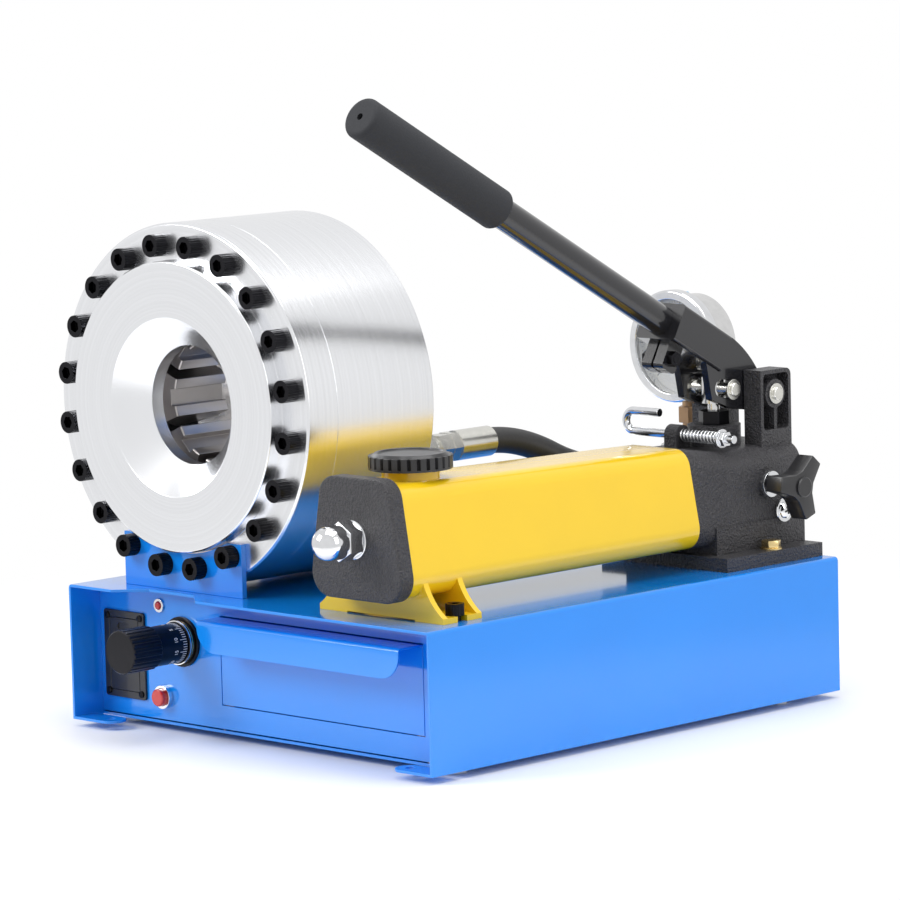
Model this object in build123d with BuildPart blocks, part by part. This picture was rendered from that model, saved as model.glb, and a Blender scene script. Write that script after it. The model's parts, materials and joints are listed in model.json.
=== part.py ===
from build123d import *
import os
from math import asin, atan2, cos, degrees, hypot, radians, sin, tan

os.makedirs("parts", exist_ok=True)

# A bench hose crimper worked by a hand pump.  Millimetres, +Z up, the dial side faces -Y.
# The origin is the middle of the object's footprint, on the bench.

# ---------------------------------------------------------------- driving dimensions
# cabinet
cab_w = 368.0          # width, left wall to right wall
cab_d = 420.0          # depth, front edge to rear edge
cab_h = 98.5           # underside to deck
sheet = 2.0            # folded steel sheet
foot_h = 5.3           # bolt heads that the cabinet stands on
foot_af = 13.0         # their width across flats
panel_inset = 27.6     # front panel, behind the front edge
slip = 0.6             # gap round loose sheet-metal pieces
tab_l = 41.5           # bench tab, from the side wall inwards
tab_w = 20.0
tab_hole_in = 30.4     # tab hole, from the side wall
tab_hole_r = 3.5
foot_stud_r = 4.0
notch_front = 90.0     # viewing notch in the deck, over the dial
notch_back = 47.0
notch_depth = 18.0
notch_x = 91.0

# drawer
drawer_x = 131.0       # left edge, from the left wall
drawer_w = 203.0
drawer_z = 20.5        # underside, above the cabinet's underside
drawer_h = 63.0
drawer_d = 255.0
drawer_sheet = 1.5
drawer_side_drop = 6.0  # side walls, below the top of the drawer's front
flap_reach = 23.0      # pull flap, forward of the panel
flap_drop = 22.0
flap_corner = 18.0

# crimping head
head_od = 260.0
head_dx = 94.9         # axis, from the left wall
head_dz = 131.9        # axis, above the deck
ring_dy = 30.6         # face of the bolt ring, behind the front edge
cover_t = 28.4         # bolt ring face to the seam
nose_r = 103.6         # raised boss round the mouth
nose_t = 11.2
spigot_len = 16.0      # cover's spigot in the cylinder
mouth_r = 63.8         # mouth cone at the front
bore_r = 42.4          # bore behind the mouth cone
mouth_depth = 20.5
cyl_r = 104.0          # cylinder bore
rear_wall = 17.4
rear_chamfer = 3.3
bolt_pcd = 230.0
bolt_count = 20
bolt_r = 5.0
bolt_grip = 18.0       # thread length in the cylinder
cap_head_r = 8.0
cap_head_h = 10.0
hex_af = 8.0
bracket_t = 4.4
bracket_w = 124.0
bracket_h = 38.5
bracket_arc_r = 104.5
bracket_grip = 14.0

# dies and piston
die_count = 8
cone_angle = 35.0      # cone faces, from the head's axis
die_closed_r = 35.5    # inner radius of the dies when closed
die_close = 9.0        # radial travel of a die
die_len = 50.0
die_thick = 32.0       # closed inner radius to ridge
die_arc = 44.0         # angle of one die, of its 45 degree share
die_slot_w = 12.0
die_slot_d = 4.0
cone_gap = 0.05        # die to cone
run_gap = 0.05         # radial running clearance
sleeve_r = 54.0        # piston sleeve, outside
sleeve_in_r = 46.0
piston_web = 10.0      # behind the piston's cone
bump_gap = 1.5         # piston to the rear wall, at rest
closed_gap = 1.1       # cover's spigot to the piston, closed
sleeve_len = 35.5
seal_w = 6.0
seal_d = 5.0
piston_seal_back = 20.0

# pump
pump_dx = 293.4        # axis, from the left wall
cap_dy = 6.1           # front face of the tank's end cap
cap_t = 11.8
tank_rear_dy = 306.7   # tank to pump body seam
body_rear_dy = 418.0
sect_bot = 14.0        # pump section, above the deck
cap_top = 98.0         # top of the end cap, above the deck
front_top = 93.0       # top of the tank at its front
rear_top = 87.5        # and at its rear
half_bot = 47.0        # half widths of the pump section
half_top = 33.0
sect_r_bot = 17.0
sect_r_top = 15.0
tank_inset = 1.2       # tank inside the cap's outline
tank_wall = 4.0
foot_dy = 28.6         # front rib of the tank's foot
foot_len = 37.0
foot_half = 60.3
foot_pad = 33.0        # half width of the relief under the foot
foot_hollow = 7.0      # hollow of the ribs' flanks
foot_bolt_half = 53.0
rib_t = 4.6
foot_plate = 4.0
foot_rise = 48.0       # ribs' height on the tank's sides
foot_flank = 39.5      # half width of the ribs up there
base_half = 61.6       # pump body's base flange
base_t = 10.0
base_bolt_half = 53.3
body_half = 44.9
body_lean = 4.0        # the sides lean in by this at the top
body_top = 82.5
body_shoulder = 30.0   # length over which the tank's outline widens
base_front_dy = 314.0
rod_dy = 371.0         # plunger's axis
tie_dz = 56.0          # tie rod, above the deck
tie_r = 8.0
tie_thread = 16.0      # tie rod's length in the pump body
washer_t = 3.0
washer_r = 16.0
nut_af = 27.0
nut_h = 17.0
dome_r = 12.5
dome_h = 17.5
neck_dy = 60.8         # filler neck
neck_dz = 98.8         # its rim, above the deck
neck_r = 20.2
neck_bore_r = 15.0
filler_r = 29.2
filler_h = 11.3
latch_dy = 344.5
latch_dz = 91.5
latch_r = 3.0
lug_dx = -18.4         # latch rod's lug, from the pump's axis
lug_w = 11.8
lug_r = 7.5
mount_bolt_r = 4.0     # bolts that hold the pump to the deck
boss_r = 19.5
boss_top = 97.7        # above the deck
pivot_dy = 400.6       # lever's fulcrum pin
pivot_dz = 119.1
pin_r = 5.0
pin_a_dz = 123.9       # plunger pin, above the deck
ear_in = 17.4          # half the gap between the ears
ear_out = 33.7
ear_front_dy = 384.8
ear_top = 136.7
ear_floor = 90.0       # bottom of the pockets in the ears
ear_rim = 3.0
ear_pocket = 10.0
ear_boss_r = 10.5
clip_r = 7.5
clip_t = 1.2
clip_back = 3.5        # clip's inner face, from the pin's end
plunger_pin_half = 22.5
fulcrum_half = 37.5
plunger_r = 4.4
plunger_foot = 41.5    # plunger's lower end, above the deck
plunger_head_r = 8.8
plunger_head_h = 21.6
gland_af = 20.0
gland_h = 10.0
gland_r = 8.0
gland_depth = 9.0

# lever
lever_pitch = 29.1     # rod above the horizontal, at rest
lever_rod_r = 11.0
grip_r = 15.0
grip_len = 148.0
lever_reach = 438.8    # fulcrum to the grip's end, along the rod
lever_offset = 10.0    # rod axis above the fulcrum, square to the rod
cheek_half = 16.5
socket_half = 19.0
cheek_t = 6.0
lever_up = 32.0        # degrees above rest
lever_down = 6.0       # degrees below rest
rod_depth = 50.0       # rod's length in its socket
tube_wall = 2.5
grip_end = 6.0         # closed end of the grip
block_back = 45.5      # socket's rear end, from the fulcrum along the rod
block_len = 57.0
block_half = 14.0
cheek_r = 14.0
cheek_heel = 19.3      # corners of the cheeks' lower edge, along the rod
cheek_toe = 42.7
cheek_drop = 21.9      # and below the fulcrum
slot_slack = 1.5       # plunger pin in its slot
clamp_at = 89.2
clamp_w = 15.0
clamp_drop = 19.0
clamp_half = 10.0
clamp_r = 3.0

# front panel fittings
dial_dx = 91.0
dial_dz = 61.8
dial_reach = 32.0      # dial face, in front of the cabinet's front edge
dial_r = 15.7
dial_travel = 10.0     # spindle travel
lamp_dx = 67.0
lamp_dz = 85.6
button_dx = 70.0
button_dz = 19.8
button_travel = 2.5
button_r = 8.5
button_barrel_r = 6.9
button_out = 8.2       # cap, in front of the panel
cap_r = 6.3
lamp_r = 5.0
lens_r = 3.0
knob_grip = 27.0       # length of the dial's knob
skirt_r = 14.3         # graduated skirt behind it
hub_r = 9.0
hub_len = 12.0
spindle_r = 4.0
switch_back = 60.0     # limit switch, behind the panel
switch_d = 16.0
box_x = 7.8            # battery box plate, left edge from the left wall
box_z = 14.9
box_w = 43.2
box_h = 63.4
battery_w = 26.5
battery_h = 48.5
battery_d = 17.5
battery_slack = 0.5
holder_wall = 1.5
holder_slip = 0.3
plate_t = 2.0

# hydraulics behind the head
port_dx = 200.0        # head port, from the left wall
port_dz = 93.5         # above the deck
port_r = 8.0
port_depth = 12.0
hose_r = 9.5
ferrule_r = 11.0
block_dx = 217.5       # hose and gauge line, from the left wall
block_dz = 63.5        # above the deck
block_size = 28.0
gauge_face_dy = 408.4
gauge_dz = 146.5
bezel_r = 42.1
case_r = 37.5
case_len = 28.0
needle_r = 1.5
needle_rest = 135.0
gauge_stem_r = 6.5
stem_back = 12.0       # gauge stem, behind the pump body
block_w = 58.0
fitting_len = 75.0     # adapter, nut and ferrule

# release valve
valve_dy = 381.0
valve_dz = 55.7
stem_r = 6.0
stem_depth = 14.0
wing_r = 22.0
wing_t = 15.0
knob_face = 78.5       # knob's outer face, from the pump's axis
knob_len = 20.0
knob_hub_r = 10.0
wing_turn = 20.0
valve_boss_r = 10.5
latch_tip = 43.3       # latch rod's end, right of the pump's axis
latch_reach = 54.9     # and the start of its hook, left of it
latch_rise = 15.0
latch_return = 25.9
spring_r = 5.0
spring_len = 37.0

# ---------------------------------------------------------------- where things are
left_reach = head_od / 2 - head_dx
right_reach = pump_dx + knob_face - cab_w
rear_reach = body_rear_dy + block_size - cab_d
x_left = (left_reach - cab_w - right_reach) / 2
y_front = (dial_reach - cab_d - rear_reach) / 2
z_under = foot_h
deck = z_under + cab_h
cab_x = x_left + cab_w / 2

head_x = x_left + head_dx
head_z = deck + head_dz
ring_y = y_front + ring_dy
seam_y = ring_y + cover_t
head_r = head_od / 2
nose_y = ring_y - nose_t
pump_x = x_left + pump_dx
panel_y = y_front + panel_inset
switch_y = panel_y + switch_back
rod_y = y_front + rod_dy
foot_y = y_front + foot_dy
foot_bolts_at = [(pump_x + s * foot_bolt_half, foot_y + foot_len / 2) for s in (-1, 1)]
base_bolts_at = [(pump_x + s * base_bolt_half, rod_y) for s in (-1, 1)]


def facing(y):
    """The upright plane at depth y: local x is +X, local y is +Z, and it looks to the front."""
    return Plane.XZ.offset(-y)


def side(x):
    """The upright plane at x: local x is +Y, local y is +Z, and it looks to the right."""
    return Plane.YZ.offset(x)


def level(z):
    return Plane.XY.offset(z)


def keep(part, name):
    """Label a finished piece and write it."""
    part.label = name
    export_step(part, "parts/" + name + ".step")


# ================================================================ cabinet
with BuildPart() as cabinet_shell:
    with BuildSketch(facing(y_front + cab_d)):
        with Locations((cab_x, z_under + cab_h / 2)):
            Rectangle(cab_w, cab_h)
    extrude(amount=cab_d)
    fillet(cabinet_shell.edges().filter_by(Axis.Y).group_by(Axis.Z)[-1], 3)
    with BuildSketch(facing(y_front + cab_d)):
        with Locations((cab_x, z_under + (cab_h - sheet) / 2)):
            Rectangle(cab_w - 2 * sheet, cab_h - sheet)
    extrude(amount=cab_d, mode=Mode.SUBTRACT)
    with BuildSketch(level(deck)):
        with Locations((x_left + notch_x, y_front)):
            Polygon(
                (-notch_front / 2, 0),
                (notch_front / 2, 0),
                (notch_back / 2, notch_depth),
                (-notch_back / 2, notch_depth),
                align=None,
            )
    extrude(amount=-sheet, mode=Mode.SUBTRACT)
    with BuildSketch(level(deck)):
        with Locations(*foot_bolts_at, *base_bolts_at):
            Circle(mount_bolt_r + run_gap)
    extrude(amount=-sheet, mode=Mode.SUBTRACT)
    with BuildSketch(level(z_under)):
        for wall, inwards in ((x_left, 1), (x_left + cab_w, -1)):
            with Locations((wall + inwards * (tab_l - tab_w / 2) / 2, y_front + tab_w / 2)):
                Rectangle(tab_l - tab_w / 2, tab_w)
            with Locations((wall + inwards * (tab_l - tab_w / 2), y_front + tab_w / 2)):
                Circle(tab_w / 2)
        for wall, inwards in ((x_left, 1), (x_left + cab_w, -1)):
            with Locations((wall + inwards * tab_hole_in, y_front + tab_w / 2)):
                Circle(tab_hole_r, mode=Mode.SUBTRACT)
    extrude(amount=sheet)
keep(cabinet_shell.part, "cabinet_shell")

inner_left = x_left + sheet
inner_w = cab_w - 2 * sheet
tray_top = z_under + sheet
panel_low = tray_top + 1
holder_rim = 2 * (battery_slack + 2 * holder_wall + holder_slip)
panel_hole_w = battery_w + holder_rim + 0.4
panel_hole_h = battery_h + holder_rim + 0.4
drawer_left = x_left + drawer_x
drawer_low = z_under + drawer_z

with BuildPart() as front_panel:
    with BuildSketch(facing(panel_y + sheet)):
        with Locations((cab_x, (panel_low + deck - sheet) / 2)):
            Rectangle(inner_w, deck - sheet - panel_low)
        with Locations((drawer_left + drawer_w / 2, drawer_low + drawer_h / 2)):
            Rectangle(drawer_w + 2 * slip, drawer_h + 2 * slip, mode=Mode.SUBTRACT)
        with Locations((x_left + box_x + box_w / 2, z_under + box_z + box_h / 2)):
            Rectangle(panel_hole_w, panel_hole_h, mode=Mode.SUBTRACT)
        with Locations((x_left + lamp_dx, z_under + lamp_dz)):
            Circle(lamp_r - 1, mode=Mode.SUBTRACT)
        with Locations((x_left + button_dx, z_under + button_dz)):
            Circle(button_barrel_r + run_gap, mode=Mode.SUBTRACT)
        with Locations((x_left + dial_dx, z_under + dial_dz)):
            Circle(hub_r + run_gap, mode=Mode.SUBTRACT)
    extrude(amount=sheet)
keep(front_panel.part, "front_panel")

tray_rear = y_front + cab_d
foot_inset = 20.0
foot_rows = (y_front + 45, tray_rear - 45)
foot_columns = (x_left + foot_inset, x_left + cab_w - foot_inset)
feet = [(x, y) for x in foot_columns for y in foot_rows]

with BuildPart() as base_tray:
    with BuildSketch(level(z_under)):
        with Locations((cab_x, (panel_y + tray_rear) / 2)):
            Rectangle(inner_w, tray_rear - panel_y)
        with Locations(*feet):
            Circle(foot_stud_r, mode=Mode.SUBTRACT)
    extrude(amount=sheet)
    with BuildSketch(facing(tray_rear)):
        with Locations((cab_x, (z_under + deck - sheet) / 2)):
            Rectangle(inner_w, deck - sheet - z_under)
    extrude(amount=sheet)
keep(base_tray.part, "base_tray")

with BuildPart() as foot_bolts:
    with BuildSketch(level(0)):
        with Locations(*feet):
            RegularPolygon(foot_af / 2, 6, major_radius=False)
    extrude(amount=foot_h)
    with BuildSketch(level(foot_h)):
        with Locations(*feet):
            Circle(foot_stud_r - run_gap)
    extrude(amount=sheet + 6)
keep(foot_bolts.part, "foot_bolts")

# ---------------------------------------------------------------- drawer
drawer_left = x_left + drawer_x
drawer_low = z_under + drawer_z
drawer_top = drawer_low + drawer_h
drawer_mid = drawer_left + drawer_w / 2

with BuildPart() as drawer:
    with BuildSketch(level(drawer_low)):
        with Locations((drawer_mid, panel_y + drawer_d / 2)):
            Rectangle(drawer_w, drawer_d)
    extrude(amount=drawer_h - drawer_side_drop)
    with BuildSketch(level(drawer_low + drawer_sheet)):
        with Locations((drawer_mid, panel_y + drawer_d / 2)):
            Rectangle(drawer_w - 2 * drawer_sheet, drawer_d - 2 * drawer_sheet)
    extrude(amount=drawer_h, mode=Mode.SUBTRACT)
    with BuildSketch(facing(panel_y + drawer_sheet)):
        with Locations((drawer_mid, drawer_low + drawer_h / 2)):
            Rectangle(drawer_w, drawer_h)
    extrude(amount=drawer_sheet)
    with BuildSketch(side(drawer_left)):
        with BuildLine() as flap:
            FilletPolyline(
                (panel_y + drawer_sheet, drawer_top),
                (panel_y - flap_reach, drawer_top),
                (panel_y - flap_reach, drawer_top - flap_drop),
                radius=3,
            )
            offset(amount=drawer_sheet, side=Side.LEFT)
        make_face()
    extrude(amount=drawer_w)
    fillet(drawer.edges().filter_by(Axis.Y).group_by(Axis.Y)[0].group_by(Axis.Z)[0], flap_corner)
keep(drawer.part, "drawer")

with BuildPart() as drawer_runners:
    for wall, inwards in ((drawer_left - slip, 1), (drawer_left + drawer_w + slip, -1)):
        with BuildSketch(facing(panel_y + sheet + drawer_d)):
            with Locations((wall - inwards * drawer_sheet / 2, (tray_top + drawer_low + 20) / 2)):
                Rectangle(drawer_sheet, drawer_low + 20 - tray_top)
            with Locations((wall + inwards * 5, drawer_low - 0.3 - drawer_sheet / 2)):
                Rectangle(10, drawer_sheet)
        extrude(amount=drawer_d)
keep(drawer_runners.part, "drawer_runners")

# ================================================================ crimping head
cone_tan = tan(radians(cone_angle))
cone_cos = cos(radians(cone_angle))
ridge_r = die_closed_r + die_thick
cone_r = ridge_r + cone_gap / cone_cos - cone_tan * closed_gap / 2
stroke = 2 * die_close / cone_tan
die_advance = stroke / 2
spigot_y = seam_y + spigot_len
ridge_y = spigot_y + closed_gap / 2
cone_len = die_len / 2 + 0.3 - closed_gap / 2
throat_r = cone_r - cone_len * cone_tan
piston_y = spigot_y + closed_gap + stroke
piston_rear = piston_y + cone_len + piston_web
wall_y = piston_rear + bump_gap
head_rear = wall_y + rear_wall
port_x = x_left + port_dx
port_z = deck + port_dz

head_side = Plane(origin=(head_x, 0, head_z), x_dir=(1, 0, 0), z_dir=(0, 0, 1))
head_axis = Axis((head_x, 0, head_z), (0, 1, 0))
bolt_angles = [-90 + 360 / bolt_count * (n + 0.5) for n in range(bolt_count)]


def bolt_circle():
    """Places of the head's bolts, for a sketch on a facing() plane."""
    return [
        (head_x + bolt_pcd / 2 * cos(radians(a)), head_z + bolt_pcd / 2 * sin(radians(a)))
        for a in bolt_angles
    ]


bracket_bolts = [p for p in bolt_circle() if abs(p[0] - head_x) < bracket_w / 2 and p[1] < head_z]
ring_bolts = [p for p in bolt_circle() if p not in bracket_bolts]

with BuildPart() as front_cover:
    with BuildSketch(head_side):
        Polygon(
            (bore_r, nose_y + mouth_depth),
            (mouth_r, nose_y),
            (nose_r - 1, nose_y),
            (nose_r, nose_y + 1),
            (nose_r, ring_y),
            (head_r - 1.5, ring_y),
            (head_r, ring_y + 1.5),
            (head_r, seam_y),
            (cyl_r - run_gap, seam_y),
            (cyl_r - run_gap, spigot_y),
            (cone_r, spigot_y),
            (throat_r, spigot_y - cone_len),
            (bore_r, spigot_y - cone_len),
            align=None,
        )
    revolve(axis=head_axis)
    with BuildSketch(facing(seam_y)):
        with Locations(*bolt_circle()):
            Circle(bolt_r + run_gap)
    extrude(amount=cover_t, mode=Mode.SUBTRACT)
keep(front_cover.part, "front_cover")

with BuildPart() as head_cylinder:
    with BuildSketch(head_side):
        Polygon(
            (cyl_r, seam_y),
            (head_r, seam_y),
            (head_r, head_rear - rear_chamfer),
            (head_r - rear_chamfer, head_rear),
            (sleeve_r + run_gap, head_rear),
            (sleeve_r + run_gap, wall_y),
            (cyl_r, wall_y),
            align=None,
        )
        with Locations((sleeve_r + seal_d / 2, wall_y + rear_wall / 2)):
            Rectangle(seal_d, seal_w, mode=Mode.SUBTRACT)
    revolve(axis=head_axis)
    with BuildSketch(facing(seam_y)):
        with Locations(*bolt_circle()):
            Circle(bolt_r + run_gap)
    extrude(amount=-bolt_grip, mode=Mode.SUBTRACT)
    with BuildSketch(facing(head_rear)):
        with Locations((port_x, port_z)):
            Circle(port_r + run_gap)
    extrude(amount=port_depth, mode=Mode.SUBTRACT)
    with BuildSketch(facing(head_rear)):
        with Locations(*bracket_bolts):
            Circle(bolt_r + run_gap)
    extrude(amount=bracket_grip, mode=Mode.SUBTRACT)
keep(head_cylinder.part, "head_cylinder")

with BuildPart() as ring_piston:
    with BuildSketch(head_side):
        Polygon(
            (cone_r, piston_y),
            (cyl_r - run_gap, piston_y),
            (cyl_r - run_gap, piston_rear),
            (sleeve_r, piston_rear),
            (sleeve_r, piston_rear + sleeve_len),
            (sleeve_in_r, piston_rear + sleeve_len),
            (sleeve_in_r, piston_y + cone_len),
            (throat_r, piston_y + cone_len),
            align=None,
        )
        with Locations((cyl_r - seal_d / 2, piston_y + piston_seal_back)):
            Rectangle(seal_d, seal_w, mode=Mode.SUBTRACT)
    revolve(axis=head_axis)
keep(ring_piston.part, "ring_piston")

with BuildPart() as piston_seal:
    with BuildSketch(head_side):
        with Locations((cyl_r - 0.02 - (seal_d - 0.1) / 2, piston_y + piston_seal_back)):
            Rectangle(seal_d - 0.1, seal_w - 0.1)
    revolve(axis=head_axis)
keep(piston_seal.part, "piston_seal")

with BuildPart() as sleeve_seal:
    with BuildSketch(head_side):
        with Locations((sleeve_r + 0.02 + (seal_d - 0.1) / 2, wall_y + rear_wall / 2)):
            Rectangle(seal_d - 0.1, seal_w - 0.1)
    revolve(axis=head_axis)
keep(sleeve_seal.part, "sleeve_seal")

# Eight dies between the two cones.  Each is a sector of one double cone about the closed axis,
# and at rest it stands back along the front cone, so its own axis is off the head's.
die_y = ridge_y + die_advance
die_share = 360 / die_count


def die_frame(number):
    """A die's own axis and the plane of its first side, with the dies open."""
    middle = die_share * number
    outwards = radians(middle)
    first = radians(middle - die_arc / 2)
    origin = (head_x + die_close * cos(outwards), die_y, head_z + die_close * sin(outwards))
    return Plane(origin=origin, x_dir=(cos(first), 0, sin(first)), z_dir=(-sin(first), 0, cos(first)))


def make_die(number):
    """One die: ridge in the middle, a slot for its tooling, and two pockets for springs."""
    frame = die_frame(number)
    middle = radians(die_share * number)
    centre = Plane(
        origin=frame.origin,
        x_dir=(cos(middle), 0, sin(middle)),
        z_dir=(0, 1, 0),
    )
    end_r = ridge_r - die_len / 2 * cone_tan
    with BuildPart() as die:
        with BuildSketch(frame):
            with BuildLine():
                Polyline(
                    (die_closed_r + 1, -die_len / 2),
                    (end_r, -die_len / 2),
                    (ridge_r, 0),
                    (end_r, die_len / 2),
                    (die_closed_r + 1, die_len / 2),
                    (die_closed_r, die_len / 2 - 1),
                    (die_closed_r, -die_len / 2 + 1),
                    close=True,
                )
            make_face()
        revolve(axis=Axis(frame.origin, (0, -1, 0)), revolution_arc=die_arc)
        with BuildSketch(centre):
            with Locations((die_closed_r, 0)):
                Rectangle(2 * die_slot_d, die_slot_w)
        extrude(amount=die_len, both=True, mode=Mode.SUBTRACT)
    return die.part


for number in range(die_count):
    keep(make_die(number), "master_die_" + str(number + 1))

with BuildPart() as head_bolts:
    for places, seat in ((ring_bolts, ring_y), (bracket_bolts, ring_y - bracket_t)):
        with BuildSketch(facing(seat)):
            with Locations(*places):
                Circle(cap_head_r)
        extrude(amount=cap_head_h)
        with BuildSketch(facing(seat)):
            with Locations(*places):
                Circle(bolt_r)
        extrude(amount=-(seam_y + bolt_grip - 1 - seat))
        with BuildSketch(facing(seat - cap_head_h)):
            with Locations(*places):
                RegularPolygon(hex_af / 2, 6, major_radius=False)
        extrude(amount=-cap_head_h / 2, mode=Mode.SUBTRACT)
    with BuildSketch(facing(head_rear + bracket_t)):
        with Locations(*bracket_bolts):
            Circle(cap_head_r)
    extrude(amount=-cap_head_h)
    with BuildSketch(facing(head_rear + bracket_t)):
        with Locations(*bracket_bolts):
            Circle(bolt_r)
    extrude(amount=bracket_t + bracket_grip - 1)
keep(head_bolts.part, "head_bolts")


def make_bracket(face_y):
    """A plate welded to the deck, cut round the head's boss, whose back is at face_y."""
    with BuildPart() as bracket:
        with BuildSketch(facing(face_y)):
            with Locations((head_x, deck + bracket_h / 2)):
                Rectangle(bracket_w, bracket_h)
            with Locations((head_x, head_z)):
                Circle(bracket_arc_r, mode=Mode.SUBTRACT)
            with Locations(*bracket_bolts):
                Circle(bolt_r + run_gap, mode=Mode.SUBTRACT)
        extrude(amount=bracket_t)
    return bracket.part


head_brackets = [make_bracket(ring_y), make_bracket(head_rear + bracket_t)]
keep(Compound(children=head_brackets), "head_brackets")

# ================================================================ hand pump
cap_y = y_front + cap_dy
tank_y = cap_y + cap_t
tank_rear = y_front + tank_rear_dy
body_rear = y_front + body_rear_dy
tie_z = deck + tie_dz
base_y = y_front + base_front_dy
neck_y = y_front + neck_dy
neck_z = deck + neck_dz


def pump_section(y, shrink, top):
    """The pump's rounded cross-section at depth y, narrower all round by shrink."""
    low = sect_bot + shrink
    with BuildSketch(facing(y)) as section:
        with Locations((pump_x, deck)):
            Polygon(
                (-half_bot + shrink, low),
                (half_bot - shrink, low),
                (half_top - shrink, top),
                (-half_top + shrink, top),
                align=None,
            )
        fillet(section.vertices().group_by(Axis.Y)[0], sect_r_bot - shrink)
        fillet(section.vertices().group_by(Axis.Y)[-1], sect_r_top - shrink)
    return section.sketch


with BuildPart() as tank_end_cap:
    extrude(pump_section(tank_y, 0, cap_top), amount=cap_t)
    fillet(tank_end_cap.faces().sort_by(Axis.Y)[0].edges(), 2)
    with BuildSketch(facing(cap_y)):
        with Locations((pump_x, tie_z)):
            Circle(tie_r + run_gap)
    extrude(amount=-cap_t, mode=Mode.SUBTRACT)
keep(tank_end_cap.part, "tank_end_cap")

with BuildPart() as oil_tank:
    loft([pump_section(tank_y, tank_inset, front_top), pump_section(tank_rear, tank_inset, rear_top)])
    # foot: two ribs with hollow flanks, and a slotted plate between them
    for rib_back in (foot_y + rib_t, foot_y + foot_len):
        with BuildSketch(facing(rib_back)):
            with Locations((pump_x, deck)):
                Polygon(
                    (-foot_half, 0),
                    (-foot_pad, 0),
                    (-foot_pad, 1),
                    (foot_pad, 1),
                    (foot_pad, 0),
                    (foot_half, 0),
                    (foot_half, foot_plate),
                    (foot_flank, foot_rise),
                    (-foot_flank, foot_rise),
                    (-foot_half, foot_plate),
                    align=None,
                )
            for s in (-1, 1):
                with BuildLine():
                    flank = SagittaArc(
                        (pump_x + s * foot_half, deck + foot_plate),
                        (pump_x + s * foot_flank, deck + foot_rise),
                        s * foot_hollow,
                    )
                    Line(flank @ 0, flank @ 1)
                make_face(mode=Mode.SUBTRACT)
        extrude(amount=rib_t)
    with BuildSketch(level(deck)):
        with Locations((pump_x, foot_y + foot_len / 2)):
            Rectangle(2 * foot_half, foot_len - 2)
        with Locations((pump_x, foot_y + foot_len / 2)):
            Rectangle(2 * foot_pad, foot_len, mode=Mode.SUBTRACT)
        for s in (-1, 1):
            with Locations((pump_x + s * (foot_bolt_half + 10), foot_y + foot_len / 2)):
                SlotOverall(29, 9, mode=Mode.SUBTRACT)
    extrude(amount=foot_plate)
    # filler neck
    with BuildSketch(level(neck_z)):
        with Locations((pump_x, neck_y)):
            Circle(neck_r)
    extrude(amount=-24)
    # inside: open at both ends
    front_hole = pump_section(tank_y, tank_inset + tank_wall, front_top - tank_wall)
    rear_hole = pump_section(tank_rear, tank_inset + tank_wall, rear_top - tank_wall)
    loft([front_hole, rear_hole], mode=Mode.SUBTRACT)
    with BuildSketch(level(neck_z)):
        with Locations((pump_x, neck_y)):
            Circle(neck_bore_r)
    extrude(amount=-24, mode=Mode.SUBTRACT)
keep(oil_tank.part, "oil_tank")

with BuildPart() as filler_cap:
    with BuildSketch(level(neck_z)):
        with Locations((pump_x, neck_y)):
            Circle(filler_r)
            with PolarLocations(filler_r + 0.6, 36):
                Circle(1.4, mode=Mode.SUBTRACT)
    extrude(amount=filler_h)
    with BuildSketch(level(neck_z + filler_h)):
        with Locations((pump_x, neck_y)):
            Circle(filler_r - 5)
    extrude(amount=-2.5, mode=Mode.SUBTRACT)
    with BuildSketch(level(neck_z)):
        with Locations((pump_x, neck_y)):
            Circle(neck_bore_r - run_gap)
    extrude(amount=-7)
keep(filler_cap.part, "filler_cap")

tie_side = Plane(origin=(pump_x, 0, tie_z), x_dir=(1, 0, 0), z_dir=(0, 0, 1))
tie_axis = Axis((pump_x, 0, tie_z), (0, 1, 0))
nut_y = cap_y - washer_t

with BuildPart() as tie_rod:
    with BuildSketch(facing(nut_y - nut_h)):
        with Locations((pump_x, tie_z)):
            Circle(tie_r)
    extrude(amount=-(tank_rear + tie_thread - 1 - nut_y + nut_h))
keep(tie_rod.part, "tie_rod")

with BuildPart() as cap_nut:
    with BuildSketch(facing(nut_y)):
        with Locations((pump_x, tie_z)):
            RegularPolygon(nut_af / 2, 6, major_radius=False)
    extrude(amount=nut_h)
    with BuildSketch(tie_side):
        with BuildLine():
            Polyline((0, nut_y - nut_h), (dome_r, nut_y - nut_h), (dome_r, nut_y - nut_h - 5))
            Line((0, nut_y - nut_h), (0, nut_y - nut_h - dome_h))
            RadiusArc((dome_r, nut_y - nut_h - 5), (0, nut_y - nut_h - dome_h), dome_r)
        make_face()
    revolve(axis=tie_axis)
    with BuildSketch(facing(nut_y)):
        with Locations((pump_x, tie_z)):
            Circle(tie_r + run_gap)
    extrude(amount=nut_h, mode=Mode.SUBTRACT)
    with BuildSketch(facing(cap_y)):
        with Locations((pump_x, tie_z)):
            Circle(washer_r)
            Circle(tie_r + 0.4, mode=Mode.SUBTRACT)
    extrude(amount=washer_t)
keep(cap_nut.part, "cap_nut")

# ---------------------------------------------------------------- pump body
pivot_y = y_front + pivot_dy
pivot_z = deck + pivot_dz
valve_y = y_front + valve_dy
valve_z = deck + valve_dz
latch_y = y_front + latch_dy
latch_z = deck + latch_dz
body_side = pump_x + body_half

with BuildSketch(facing(tank_rear + body_shoulder)) as body_section:
    with Locations((pump_x, deck)):
        Polygon(
            (-body_half, sect_bot + tank_inset),
            (body_half, sect_bot + tank_inset),
            (body_half - body_lean, body_top),
            (-body_half + body_lean, body_top),
            align=None,
        )
    fillet(body_section.vertices().group_by(Axis.Y)[0], sect_r_bot / 2)
    fillet(body_section.vertices().group_by(Axis.Y)[-1], sect_r_top)

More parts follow.
